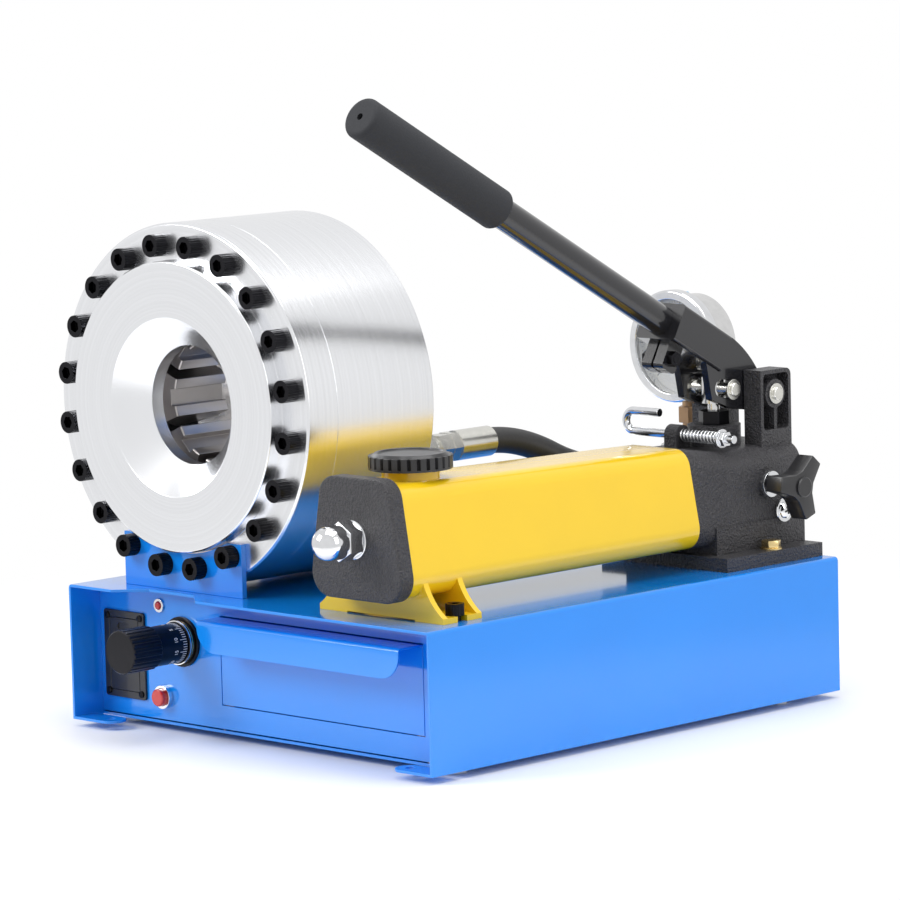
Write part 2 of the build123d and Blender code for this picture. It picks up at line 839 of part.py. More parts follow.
with BuildPart() as pump_body:
    # from the tank's outline out to the full width
    loft([pump_section(tank_rear, tank_inset, rear_top), body_section.sketch])
    extrude(body_section.sketch, amount=-(body_rear - tank_rear - body_shoulder))
    with BuildSketch(level(deck)):
        with Locations((pump_x, (base_y + body_rear) / 2)):
            Rectangle(2 * base_half, body_rear - base_y)
    extrude(amount=base_t)
    with BuildSketch(level(deck + base_t)):
        with Locations((pump_x, (base_y + 8 + body_rear) / 2)):
            Rectangle(2 * body_half, body_rear - base_y - 8)
    extrude(amount=2 * base_t)
    # plunger boss
    with BuildSketch(level(deck + boss_top)):
        with Locations((pump_x, rod_y)):
            Circle(boss_r)
    extrude(amount=-(boss_top - body_top + 20))
    # ears: open on their outer sides, with a rim, a pin boss and an upright rib
    for s in (-1, 1):
        with BuildSketch(side(pump_x + s * ear_in)) as ear:
            with Locations((0, deck)):
                Polygon(
                    (y_front + ear_front_dy, body_top - 20),
                    (body_rear, body_top - 20),
                    (body_rear, ear_top),
                    (y_front + ear_front_dy, ear_top),
                    align=None,
                )
            fillet(ear.vertices().group_by(Axis.Y)[-1].sort_by(Axis.X)[-1], 5)
        extrude(amount=s * (ear_out - ear_in))
        with BuildSketch(side(pump_x + s * ear_out)):
            with BuildSketch(mode=Mode.PRIVATE) as pocket:
                with Locations((y_front + (ear_front_dy + body_rear_dy) / 2, deck + (ear_top + ear_floor) / 2)):
                    RectangleRounded(
                        body_rear_dy - ear_front_dy - 2 * ear_rim,
                        ear_top - ear_floor - 2 * ear_rim,
                        3,
                    )
                with Locations((pivot_y, pivot_z)):
                    Circle(ear_boss_r, mode=Mode.SUBTRACT)
                with Locations((pivot_y, deck + ear_floor)):
                    Rectangle(3, 2 * (pivot_dz - ear_floor), mode=Mode.SUBTRACT)
            add(pocket.sketch)
        extrude(amount=-s * ear_pocket, mode=Mode.SUBTRACT)
    # lug for the latch rod
    with BuildSketch(side(pump_x + lug_dx)):
        with Locations((latch_y, latch_z)):
            Circle(lug_r)
        with Locations((latch_y, latch_z - lug_r)):
            Rectangle(2 * lug_r, 2 * lug_r)
    extrude(amount=lug_w)
    # boss for the release valve
    with BuildSketch(side(pump_x + body_half - 20)):
        with Locations((valve_y, valve_z)):
            Circle(valve_boss_r)
    extrude(amount=20)
    # bores
    with BuildSketch(side(pump_x - ear_out)):
        with Locations((pivot_y, pivot_z)):
            Circle(pin_r + run_gap)
    extrude(amount=2 * ear_out, mode=Mode.SUBTRACT)
    with BuildSketch(side(pump_x + lug_dx)):
        with Locations((latch_y, latch_z)):
            Circle(latch_r + run_gap)
    extrude(amount=lug_w, mode=Mode.SUBTRACT)
    with BuildSketch(level(deck + boss_top)):
        with Locations((pump_x, rod_y)):
            Circle(gland_r + run_gap)
    extrude(amount=-gland_depth, mode=Mode.SUBTRACT)
    with BuildSketch(level(deck + boss_top)):
        with Locations((pump_x, rod_y)):
            Circle(plunger_r + run_gap)
    extrude(amount=-(boss_top - plunger_foot + 6), mode=Mode.SUBTRACT)
    with BuildSketch(facing(tank_rear)):
        with Locations((pump_x, tie_z)):
            Circle(tie_r + run_gap)
    extrude(amount=-tie_thread, mode=Mode.SUBTRACT)
    with BuildSketch(side(body_side)):
        with Locations((valve_y, valve_z)):
            Circle(stem_r + run_gap)
    extrude(amount=-stem_depth, mode=Mode.SUBTRACT)
    with BuildSketch(level(deck + base_t)):
        with Locations(*base_bolts_at):
            Circle(mount_bolt_r + run_gap)
    extrude(amount=-base_t, mode=Mode.SUBTRACT)
keep(pump_body.part, "pump_body")

with BuildPart() as gland_nut:
    with BuildSketch(level(deck + boss_top)):
        with Locations((pump_x, rod_y)):
            RegularPolygon(gland_af / 2, 6, major_radius=False, rotation=30)
    extrude(amount=gland_h)
    with BuildSketch(level(deck + boss_top)):
        with Locations((pump_x, rod_y)):
            Circle(gland_r)
    extrude(amount=-(gland_depth - 1))
    with BuildSketch(level(deck + boss_top + gland_h)):
        with Locations((pump_x, rod_y)):
            Circle(plunger_r + run_gap)
    extrude(amount=-(gland_h + gland_depth), mode=Mode.SUBTRACT)
keep(gland_nut.part, "gland_nut")

pin_a_z = deck + pin_a_dz

with BuildPart() as plunger:
    with BuildSketch(level(deck + plunger_foot)):
        with Locations((pump_x, rod_y)):
            Circle(plunger_r)
    extrude(amount=pin_a_dz - plunger_foot)
    with BuildSketch(level(pin_a_z - plunger_head_h / 2)):
        with Locations((pump_x, rod_y)):
            Circle(plunger_head_r)
    extrude(amount=plunger_head_h)
    fillet(plunger.edges().filter_by(GeomType.CIRCLE).sort_by(Axis.Z)[-1], 1.5)
    with BuildSketch(side(pump_x - plunger_head_r)):
        with Locations((rod_y, pin_a_z)):
            Circle(pin_r + run_gap)
    extrude(amount=2 * plunger_head_r, mode=Mode.SUBTRACT)
keep(plunger.part, "plunger")


def make_pin(y, z, half_len):
    """A clevis pin along X with a clip near each end."""
    with BuildPart() as pin:
        with BuildSketch(side(pump_x - half_len)):
            with Locations((y, z)):
                Circle(pin_r)
        extrude(amount=2 * half_len)
        chamfer(pin.edges().filter_by(GeomType.CIRCLE), 0.8)
        for s in (-1, 1):
            with BuildSketch(side(pump_x + s * (half_len - clip_back))):
                with Locations((y, z)):
                    Circle(clip_r)
            extrude(amount=s * clip_t)
    return pin.part


keep(make_pin(rod_y, pin_a_z, plunger_pin_half), "plunger_pin")
keep(make_pin(pivot_y, pivot_z, fulcrum_half), "fulcrum_pin")

with BuildPart() as pump_bolts:
    # hex flange bolts through the body's base
    with BuildSketch(level(deck + base_t)):
        with Locations(*base_bolts_at):
            Circle(8)
    extrude(amount=1.5)
    with BuildSketch(level(deck + base_t + 1.5)):
        with Locations(*base_bolts_at):
            RegularPolygon(foot_af / 2, 6, major_radius=False)
    extrude(amount=5.5)
    # socket bolts through the tank's foot
    with BuildSketch(level(deck + foot_plate)):
        with Locations(*foot_bolts_at):
            Circle(foot_af / 2)
    extrude(amount=2 * mount_bolt_r)
    with BuildSketch(level(deck + foot_plate + 2 * mount_bolt_r)):
        with Locations(*foot_bolts_at):
            RegularPolygon(3, 6, major_radius=False)
    extrude(amount=-mount_bolt_r, mode=Mode.SUBTRACT)
    for places, seat in ((base_bolts_at, deck + base_t), (foot_bolts_at, deck + foot_plate)):
        with BuildSketch(level(seat)):
            with Locations(*places):
                Circle(mount_bolt_r)
        extrude(amount=-(seat - deck + sheet + 10))
    # their nuts, under the deck
    with BuildSketch(level(deck - sheet)):
        with Locations(*base_bolts_at, *foot_bolts_at):
            RegularPolygon(foot_af / 2, 6, major_radius=False)
    extrude(amount=-6.5)
keep(pump_bolts.part, "pump_bolts")

# ---------------------------------------------------------------- lever
pitch = radians(lever_pitch)
rod_line = Plane(
    origin=(pump_x, pivot_y, pivot_z),
    x_dir=(0, -cos(pitch), sin(pitch)),
    z_dir=(-1, 0, 0),
)
block_front = block_back + block_len
block_low = lever_offset - block_half
block_top = lever_offset + block_half
clamp_b = block_low - clamp_drop / 2

# The plunger pin moves straight up and down while the cheeks swing, so it runs in a slot.
arm = pivot_dy - rod_dy
pin_rest = atan2(pin_a_dz - pivot_dz, arm)
lift_up = arm * (tan(pin_rest + radians(lever_up)) - tan(pin_rest))
slot_out = hypot(arm, pin_a_dz - pivot_dz + lift_up)


def across_rod(reach):
    """The plane square to the lever's rod, reach millimetres out from the fulcrum."""
    centre = rod_line.from_local_coords(Vector(reach, lever_offset, 0))
    return Plane(origin=centre, x_dir=(1, 0, 0), z_dir=rod_line.x_dir)


def on_rod_line(reach, angle):
    """A point at a distance and an angle from the fulcrum, in the lever's own plane."""
    return (reach * cos(angle), reach * sin(angle))


with BuildPart() as lever_head:
    # cheeks: from round the fulcrum to under the socket
    with BuildSketch(rod_line):
        with BuildLine():
            back = CenterArc((0, 0), cheek_r, 70, 195)
            Polyline(
                back @ 1,
                (cheek_heel, -cheek_drop),
                (cheek_toe, -cheek_drop - 3),
                (block_back + 15, block_low),
                (block_back + 15, block_top),
                (block_back, block_top),
            )
            SagittaArc((block_back, block_top), back @ 0, -2.5)
        make_face()
    extrude(amount=cheek_half, both=True)
    # socket for the rod, with the clamp's lug under its mouth
    with BuildSketch(across_rod(block_front)):
        RectangleRounded(2 * socket_half, 2 * block_half, 3)
    extrude(amount=-block_len)
    with BuildSketch(rod_line):
        with Locations((clamp_at, block_low - clamp_drop / 2 + 3)):
            RectangleRounded(clamp_w, clamp_drop + 6, 3)
    extrude(amount=clamp_half, both=True)
    # room for the plunger between the cheeks
    with BuildSketch(rod_line):
        Polygon(
            (-2 * cheek_r, -40),
            (block_back + 22, -40),
            (block_back + 22, block_low),
            (block_back + 1.5, block_low),
            (block_back + 1.5, 40),
            (-2 * cheek_r, 40),
            align=None,
        )
    extrude(amount=cheek_half - cheek_t, both=True, mode=Mode.SUBTRACT)
    # rod bore, fulcrum hole, the plunger pin's slot, and the clamp's slit and bolt hole
    with BuildSketch(across_rod(block_front)):
        Circle(lever_rod_r + run_gap)
    extrude(amount=-rod_depth, mode=Mode.SUBTRACT)
    with BuildSketch(rod_line):
        Circle(pin_r + run_gap)
    extrude(amount=cheek_half, both=True, mode=Mode.SUBTRACT)
    with BuildSketch(rod_line):
        slot_angle = pin_rest - pitch
        SlotCenterPoint(
            on_rod_line((arm + slot_out) / 2, slot_angle),
            on_rod_line(slot_out + 0.5, slot_angle),
            2 * (pin_r + slot_slack),
        )
    extrude(amount=cheek_half, both=True, mode=Mode.SUBTRACT)
    with BuildSketch(rod_line):
        with Locations((clamp_at, clamp_b)):
            Rectangle(clamp_w + 2, clamp_drop + 10)
    extrude(amount=1, both=True, mode=Mode.SUBTRACT)
    with BuildSketch(rod_line):
        with Locations((clamp_at, clamp_b)):
            Circle(clamp_r + run_gap)
    extrude(amount=clamp_half, both=True, mode=Mode.SUBTRACT)
keep(lever_head.part, "lever_head")

with BuildPart() as clamp_bolt:
    with BuildSketch(rod_line):
        with Locations((clamp_at, clamp_b)):
            Circle(clamp_r)
    extrude(amount=clamp_half + 5, both=True)
    for s in (-1, 1):
        with BuildSketch(rod_line.offset(s * clamp_half)):
            with Locations((clamp_at, clamp_b)):
                RegularPolygon(5, 6, major_radius=False)
        extrude(amount=s * 4.5)
keep(clamp_bolt.part, "clamp_bolt")

with BuildPart() as lever_rod:
    with BuildSketch(across_rod(block_front - rod_depth + 0.5)):
        Circle(lever_rod_r)
        Circle(lever_rod_r - tube_wall, mode=Mode.SUBTRACT)
    extrude(amount=lever_reach - grip_end - block_front + rod_depth - 1)
keep(lever_rod.part, "lever_rod")

with BuildPart() as lever_grip:
    with BuildSketch(across_rod(lever_reach)):
        Circle(grip_r)
    extrude(amount=-grip_len)
    fillet(lever_grip.edges().filter_by(GeomType.CIRCLE).sort_by(Axis.Z)[-1], 4)
    fillet(lever_grip.edges().filter_by(GeomType.CIRCLE).sort_by(Axis.Z)[0], 2)
    with BuildSketch(across_rod(lever_reach - grip_end)):
        Circle(lever_rod_r + run_gap)
    extrude(amount=-grip_len, mode=Mode.SUBTRACT)
    with BuildSketch(across_rod(lever_reach)):
        Circle(2.5)
    extrude(amount=-grip_end, mode=Mode.SUBTRACT)
keep(lever_grip.part, "lever_grip")

# ---------------------------------------------------------------- release valve
knob_x = pump_x + knob_face
collar_x = body_side

with BuildPart() as valve_collar:
    with BuildSketch(side(collar_x)):
        with Locations((valve_y, valve_z)):
            Circle(valve_boss_r - 1)
            Circle(stem_r + run_gap, mode=Mode.SUBTRACT)
    extrude(amount=2)
keep(valve_collar.part, "valve_collar")

with BuildPart() as valve_stem:
    with BuildSketch(side(collar_x - stem_depth + 1)):
        with Locations((valve_y, valve_z)):
            Circle(stem_r)
    extrude(amount=knob_x - collar_x + stem_depth - 6)
keep(valve_stem.part, "valve_stem")

with BuildPart() as valve_knob:
    with BuildSketch(side(knob_x - knob_len)):
        with Locations((valve_y, valve_z)):
            Circle(knob_hub_r)
    extrude(amount=knob_len)
    with BuildSketch(side(knob_x - wing_t)):
        with Locations((valve_y, valve_z)):
            with PolarLocations(0, 3, start_angle=wing_turn):
                Trapezoid(wing_r, 2 * knob_hub_r - 4, 76, rotation=-90, align=(Align.CENTER, Align.MIN))
    extrude(amount=wing_t)
    with BuildSketch(side(knob_x - knob_len)):
        with Locations((valve_y, valve_z)):
            Circle(stem_r + run_gap)
    extrude(amount=knob_len - 4, mode=Mode.SUBTRACT)
keep(valve_knob.part, "valve_knob")

# ---------------------------------------------------------------- latch for the lever
hook_r = latch_rise / 2

with BuildPart() as latch_rod:
    with BuildLine(facing(latch_y)) as hook:
        shank = Line((pump_x + latch_tip, latch_z), (pump_x - latch_reach, latch_z))
        bend = CenterArc((pump_x - latch_reach, latch_z + hook_r), hook_r, -90, -180)
        Line(bend @ 1, (pump_x - latch_reach + latch_return, latch_z + latch_rise))
    with BuildSketch(side(pump_x + latch_tip)):
        with Locations((latch_y, latch_z)):
            Circle(latch_r)
    sweep(path=hook.wire())
    with BuildSketch(side(pump_x + lug_dx + lug_w + spring_len)):
        with Locations((latch_y, latch_z)):
            Circle(spring_r + 2)
    extrude(amount=1.5)
    with BuildSketch(side(pump_x + lug_dx + lug_w + spring_len + 1.5)):
        with Locations((latch_y, latch_z)):
            RegularPolygon(5, 6, major_radius=False)
    extrude(amount=4.5)
keep(latch_rod.part, "latch_rod")

with BuildPart() as latch_spring:
    with BuildSketch(side(pump_x + lug_dx + lug_w)):
        with Locations((latch_y, latch_z)):
            Circle(spring_r)
            Circle(latch_r + 0.4, mode=Mode.SUBTRACT)
    extrude(amount=spring_len)
keep(latch_spring.part, "latch_spring")

# ================================================================ hose, gauge and their block
block_x = x_left + block_dx
block_z = deck + block_dz
stem_y = body_rear + stem_back

with BuildPart() as manifold_block:
    with BuildSketch(facing(body_rear + block_size)):
        with Locations((block_x - block_size / 2, block_z - block_size / 2)):
            Rectangle(block_w, block_size, align=Align.MIN)
    extrude(amount=block_size)
    chamfer(manifold_block.edges().filter_by(Axis.Z), 1)
    with BuildSketch(facing(body_rear)):
        with Locations((block_x, block_z)):
            Circle(port_r + run_gap)
    extrude(amount=-port_depth, mode=Mode.SUBTRACT)
    with BuildSketch(level(block_z + block_size / 2)):
        with Locations((block_x, stem_y)):
            Circle(gauge_stem_r + run_gap)
    extrude(amount=-(block_size / 2 - port_r - 1), mode=Mode.SUBTRACT)
keep(manifold_block.part, "manifold_block")


def make_fitting(x, z, port_y, away):
    """Adapter, nut and ferrule on a port whose face is at port_y; away is +1 or -1 along Y."""
    with BuildPart() as fitting:
        stages = (
            (-(port_depth - 1), 0, port_r, 0),
            (0, 14, 0, 22),
            (14, 20, port_r, 0),
            (20, 32, 0, 19),
            (32, 40, 0, 20),
            (40, fitting_len, ferrule_r, 0),
        )
        for start, stop, radius, flats in stages:
            near = port_y + away * start
            with BuildSketch(facing(near)):
                with Locations((x, z)):
                    if flats:
                        RegularPolygon(flats / 2, 6, major_radius=False)
                    else:
                        Circle(radius)
            extrude(amount=-away * (stop - start))
    return fitting.part


head_fitting = make_fitting(port_x, port_z, head_rear, 1)
block_fitting = make_fitting(block_x, block_z, body_rear, -1)
keep(Compound(children=[head_fitting, block_fitting]), "hose_fittings")

# The hose leaves both ends straight along Y, so it is an S of two equal arcs.
hose_start = Vector(port_x, head_rear + fitting_len, port_z)
hose_end = Vector(block_x, body_rear - fitting_len, block_z)
hose_run = hose_end.Y - hose_start.Y
hose_drop = hypot(hose_end.X - hose_start.X, hose_end.Z - hose_start.Z)
hose_bend = (hose_run**2 + hose_drop**2) / (4 * hose_drop)
hose_turn = degrees(asin(hose_run / 2 / hose_bend))
hose_plane = Plane(
    origin=hose_start,
    x_dir=(0, 1, 0),
    z_dir=Vector(0, 1, 0).cross(Vector(hose_end.X - hose_start.X, 0, hose_end.Z - hose_start.Z)),
)
print("hose bend radius", round(hose_bend, 1))

with BuildPart() as hydraulic_hose:
    with BuildLine(hose_plane) as hose_path:
        first = JernArc((0, 0), (1, 0), hose_bend, hose_turn)
        JernArc(first @ 1, first % 1, hose_bend, -hose_turn)
    with BuildSketch(facing(hose_start.Y)):
        with Locations((port_x, port_z)):
            Circle(hose_r)
    sweep(path=hose_path.wire())
keep(hydraulic_hose.part, "hydraulic_hose")

# ---------------------------------------------------------------- pressure gauge
gauge_y = y_front + gauge_face_dy
gauge_z = deck + gauge_dz
gauge_side = Plane(origin=(block_x, 0, gauge_z), x_dir=(1, 0, 0), z_dir=(0, 0, 1))
gauge_axis = Axis((block_x, 0, gauge_z), (0, 1, 0))
rim_y = gauge_y + 4.6
shoulder_y = rim_y + 8
back_y = rim_y + case_len

with BuildPart() as gauge_case:
    with BuildSketch(gauge_side):
        Polygon(
            (0, back_y),
            (case_r - 1.5, back_y),
            (case_r, back_y - 1.5),
            (case_r, rim_y),
            (case_r - 1.5, rim_y),
            (case_r - 1.5, shoulder_y),
            (case_r - 3, shoulder_y),
            (case_r - 3, back_y - 2),
            (10, back_y - 2),
            (10, shoulder_y + 3),
            (0, shoulder_y + 3),
            align=None,
        )
    revolve(axis=gauge_axis)
    with BuildSketch(facing(shoulder_y + 3)):
        with Locations((block_x, gauge_z)):
            Circle(needle_r + run_gap)
    extrude(amount=-8, mode=Mode.SUBTRACT)
    with BuildSketch(level(gauge_z - case_r + 4)):
        with Locations((block_x, stem_y)):
            Circle(gauge_stem_r + run_gap)
    extrude(amount=-10, mode=Mode.SUBTRACT)
keep(gauge_case.part, "gauge_case")

with BuildPart() as gauge_bezel:
    with BuildSketch(gauge_side):
        Polygon(
            (case_r - 2, gauge_y),
            (bezel_r - 1.2, gauge_y),
            (bezel_r, gauge_y + 1.2),
            (bezel_r, gauge_y + 9),
            (case_r + run_gap, gauge_y + 9),
            (case_r + run_gap, gauge_y + 2),
            (case_r - 2, gauge_y + 2),
            align=None,
        )
    revolve(axis=gauge_axis)
keep(gauge_bezel.part, "gauge_bezel")

with BuildPart() as gauge_lens:
    with BuildSketch(facing(rim_y)):
        with Locations((block_x, gauge_z)):
            Circle(case_r - 0.1)
    extrude(amount=2.5)
keep(gauge_lens.part, "gauge_lens")

with BuildPart() as gauge_dial:
    with BuildSketch(facing(shoulder_y)):
        with Locations((block_x, gauge_z)):
            Circle(case_r - 1.6)
            Circle(needle_r + 0.5, mode=Mode.SUBTRACT)
    extrude(amount=1)
keep(gauge_dial.part, "gauge_dial")

with BuildPart() as gauge_needle:
    with BuildSketch(facing(shoulder_y - 3)):
        with Locations((block_x, gauge_z)):
            Circle(4)
            with Locations(Location((0, 0, 0), needle_rest)):
                Trapezoid(3, 38, 88.5, align=(Align.CENTER, Align.CENTER), rotation=180)
    extrude(amount=0.8)
    with BuildSketch(facing(shoulder_y - 3.8)):
        with Locations((block_x, gauge_z)):
            Circle(needle_r)
    extrude(amount=-13.5)
keep(gauge_needle.part, "gauge_needle")

with BuildPart() as gauge_stem:
    with BuildSketch(level(block_z + block_size / 2 - 4.5)):
        with Locations((block_x, stem_y)):
            Circle(gauge_stem_r)
    extrude(amount=gauge_z - case_r + 3.5 - block_z - block_size / 2 + 4.5)
    with BuildSketch(level(gauge_z - case_r - 21)):
        with Locations((block_x, stem_y)):
            RegularPolygon(8.5, 6, major_radius=False)
    extrude(amount=12)
keep(gauge_stem.part, "gauge_stem")

# ================================================================ front panel fittings
dial_x = x_left + dial_dx
dial_z = z_under + dial_dz
dial_y = y_front - dial_reach
dial_side = Plane(origin=(dial_x, 0, dial_z), x_dir=(1, 0, 0), z_dir=(0, 0, 1))
dial_axis = Axis((dial_x, 0, dial_z), (0, 1, 0))
collar_y = panel_y - 7.6

with BuildPart() as dial_thimble:
    with BuildSketch(dial_side):
        Polygon(
            (0, dial_y),
            (dial_r - 1, dial_y),
            (dial_r, dial_y + 1),
            (dial_r, dial_y + knob_grip - 1),
            (dial_r - 1, dial_y + knob_grip),
            (skirt_r, dial_y + knob_grip),
            (skirt_r, collar_y - 0.2),
            (hub_r + run_gap, collar_y - 0.2),
            (hub_r + run_gap, collar_y - hub_len - 0.5),
            (spindle_r + run_gap, collar_y - hub_len - 0.5),
            (spindle_r + run_gap, dial_y + 8),
            (0, dial_y + 8),
            align=None,
        )
    revolve(axis=dial_axis)
    with BuildSketch(facing(dial_y)):
        with Locations((dial_x, dial_z)):
            with PolarLocations(dial_r + 0.9, 24):
                Circle(1.5)
    extrude(amount=-knob_grip, mode=Mode.SUBTRACT)
keep(dial_thimble.part, "dial_thimble")

with BuildPart() as dial_collar:
    with BuildSketch(dial_side):
        Polygon(
            (spindle_r + run_gap, collar_y - hub_len),
            (hub_r, collar_y - hub_len),
            (hub_r, collar_y),
            (dial_r - 0.5, collar_y),
            (dial_r - 0.5, panel_y - 2.6),
            (dial_r + 2.3, panel_y - 2.6),
            (dial_r + 2.3, panel_y),
            (hub_r, panel_y),
            (hub_r, panel_y + 12),
            (spindle_r + run_gap, panel_y + 12),
            align=None,
        )
    revolve(axis=dial_axis)
    with BuildSketch(facing(panel_y + sheet)):
        with Locations((dial_x, dial_z)):
            RegularPolygon(hub_r + 5, 6, major_radius=False)
            Circle(hub_r - 0.5, mode=Mode.SUBTRACT)
    extrude(amount=-5)
keep(dial_collar.part, "dial_collar")

with BuildPart() as dial_spindle:
    with BuildSketch(facing(dial_y + 9)):
        with Locations((dial_x, dial_z)):
            Circle(spindle_r)
    extrude(amount=-(switch_y - 1 - dial_travel - dial_y - 9))
keep(dial_spindle.part, "dial_spindle")

with BuildPart() as limit_switch:
    with BuildSketch(facing(switch_y + switch_d)):
        with Locations((dial_x, dial_z)):
            Rectangle(12, 28)
    extrude(amount=switch_d)
    with BuildSketch(facing(switch_y + switch_d)):
        with Locations((dial_x, (tray_top + dial_z) / 2)):
            Rectangle(18, dial_z - tray_top)
    extrude(amount=-sheet)
    with BuildSketch(level(tray_top)):
        with Locations((dial_x, switch_y + switch_d + 8)):
            Rectangle(18, 16)
    extrude(amount=sheet)
keep(limit_switch.part, "limit_switch")

lamp_x = x_left + lamp_dx
lamp_z = z_under + lamp_dz
button_x = x_left + button_dx
button_z = z_under + button_dz

with BuildPart() as panel_housings:
    # lamp
    with BuildSketch(facing(panel_y)):
        with Locations((lamp_x, lamp_z)):
            Circle(lamp_r)
    extrude(amount=1.5)
    with BuildSketch(facing(panel_y)):
        with Locations((lamp_x, lamp_z)):
            Circle(lamp_r - 1 - run_gap)
    extrude(amount=-16)
    with BuildSketch(facing(panel_y - 1.5)):
        with Locations((lamp_x, lamp_z)):
            Circle(lens_r + run_gap)
    extrude(amount=-8, mode=Mode.SUBTRACT)
    # push button
    with BuildSketch(facing(panel_y)):
        with Locations((button_x, button_z)):
            Circle(button_r)
    extrude(amount=4)
    with BuildSketch(facing(panel_y)):
        with Locations((button_x, button_z)):
            Circle(button_barrel_r)
    extrude(amount=-22)
    with BuildSketch(facing(panel_y - 4)):
        with Locations((button_x, button_z)):
            Circle(cap_r + run_gap)
    extrude(amount=-(4 + 8 + button_travel), mode=Mode.SUBTRACT)
keep(panel_housings.part, "panel_housings")

with BuildPart() as lamp_lens:
    with BuildSketch(facing(panel_y + 6)):
        with Locations((lamp_x, lamp_z)):
            Circle(lens_r)
    extrude(amount=6 + 3)
    fillet(lamp_lens.edges().filter_by(GeomType.CIRCLE).sort_by(Axis.Y)[0], lens_r * 0.6)
keep(lamp_lens.part, "lamp_lens")

with BuildPart() as push_button:
    with BuildSketch(facing(panel_y + 7.5)):
        with Locations((button_x, button_z)):
            Circle(cap_r)
    extrude(amount=7.5 + button_out)
    chamfer(push_button.edges().filter_by(GeomType.CIRCLE).sort_by(Axis.Y)[0], 0.8)
keep(push_button.part, "push_button")

# ---------------------------------------------------------------- battery holder
box_mid_x = x_left + box_x + box_w / 2
box_mid_z = z_under + box_z + box_h / 2
cradle_w = battery_w + 2 * (battery_slack + holder_wall)
cradle_h = battery_h + 2 * (battery_slack + holder_wall)
door_w = cradle_w + 2
well_w = cradle_w + 2 * holder_slip
well_h = cradle_h + 2 * holder_slip
well_d = battery_d + 4

with BuildPart() as battery_box:
    with BuildSketch(facing(panel_y)):
        with Locations((box_mid_x, box_mid_z)):
            RectangleRounded(box_w, box_h, 2)
    extrude(amount=plate_t)
    with BuildSketch(facing(panel_y)):
        with Locations((box_mid_x, box_mid_z)):
            Rectangle(well_w + 2 * holder_wall, well_h + 2 * holder_wall)
    extrude(amount=-(well_d + holder_wall))
    with BuildSketch(facing(panel_y - plate_t)):
        with Locations((box_mid_x, box_mid_z)):
            Rectangle(well_w, well_h)
    extrude(amount=-(plate_t + well_d), mode=Mode.SUBTRACT)
keep(battery_box.part, "battery_box")

with BuildPart() as battery_tray:
    with BuildSketch(facing(panel_y + well_d - 1)):
        with Locations((box_mid_x, box_mid_z)):
            Rectangle(cradle_w, cradle_h)
    extrude(amount=well_d - 1 + plate_t)
    with BuildSketch(facing(panel_y + well_d - 1 - holder_wall)):
        with Locations((box_mid_x + holder_wall, box_mid_z)):
            Rectangle(cradle_w, cradle_h - 2 * holder_wall)
    extrude(amount=battery_d + 1, mode=Mode.SUBTRACT)
    with BuildSketch(facing(panel_y - plate_t)):
        with Locations((box_mid_x, box_mid_z + cradle_h / 2 - 6)):
            SlotOverall(14, 5)
    extrude(amount=-1.2, mode=Mode.SUBTRACT)
keep(battery_tray.part, "battery_tray")

with BuildPart() as battery:
    with BuildSketch(facing(panel_y + well_d - 1 - holder_wall - 0.5)):
        with Locations((box_mid_x, box_mid_z - 2)):
            RectangleRounded(battery_w, battery_h - 4, 2)
    extrude(amount=battery_d)
    with BuildSketch(level(box_mid_z + battery_h / 2 - 4)):
        for s in (-1, 1):
            with Locations((box_mid_x + s * 6.5, panel_y + well_d - 1 - holder_wall - 0.5 - battery_d / 2)):
                Circle(3)
    extrude(amount=3)
keep(battery.part, "battery")
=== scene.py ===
# %% [markdown]
# # A bench hose crimper
# The machine comes in as a fixed model in metres: a round crimping head on a blue sheet-metal
# cabinet, a yellow hand pump beside it, and the small fittings on the front panel. Every place in
# this lesson is read from that model, so a new piece always lands on what carries it. Here each
# part gets its finish, and the parts that need finer shapes than a working model has are modelled
# again: the turned head, the screws, the spring, the nut, the caps and knobs, and the dial faces.

import json
from math import atan2, cos, pi, radians, sin

import bmesh
import bpy
from mathutils import Matrix, Vector

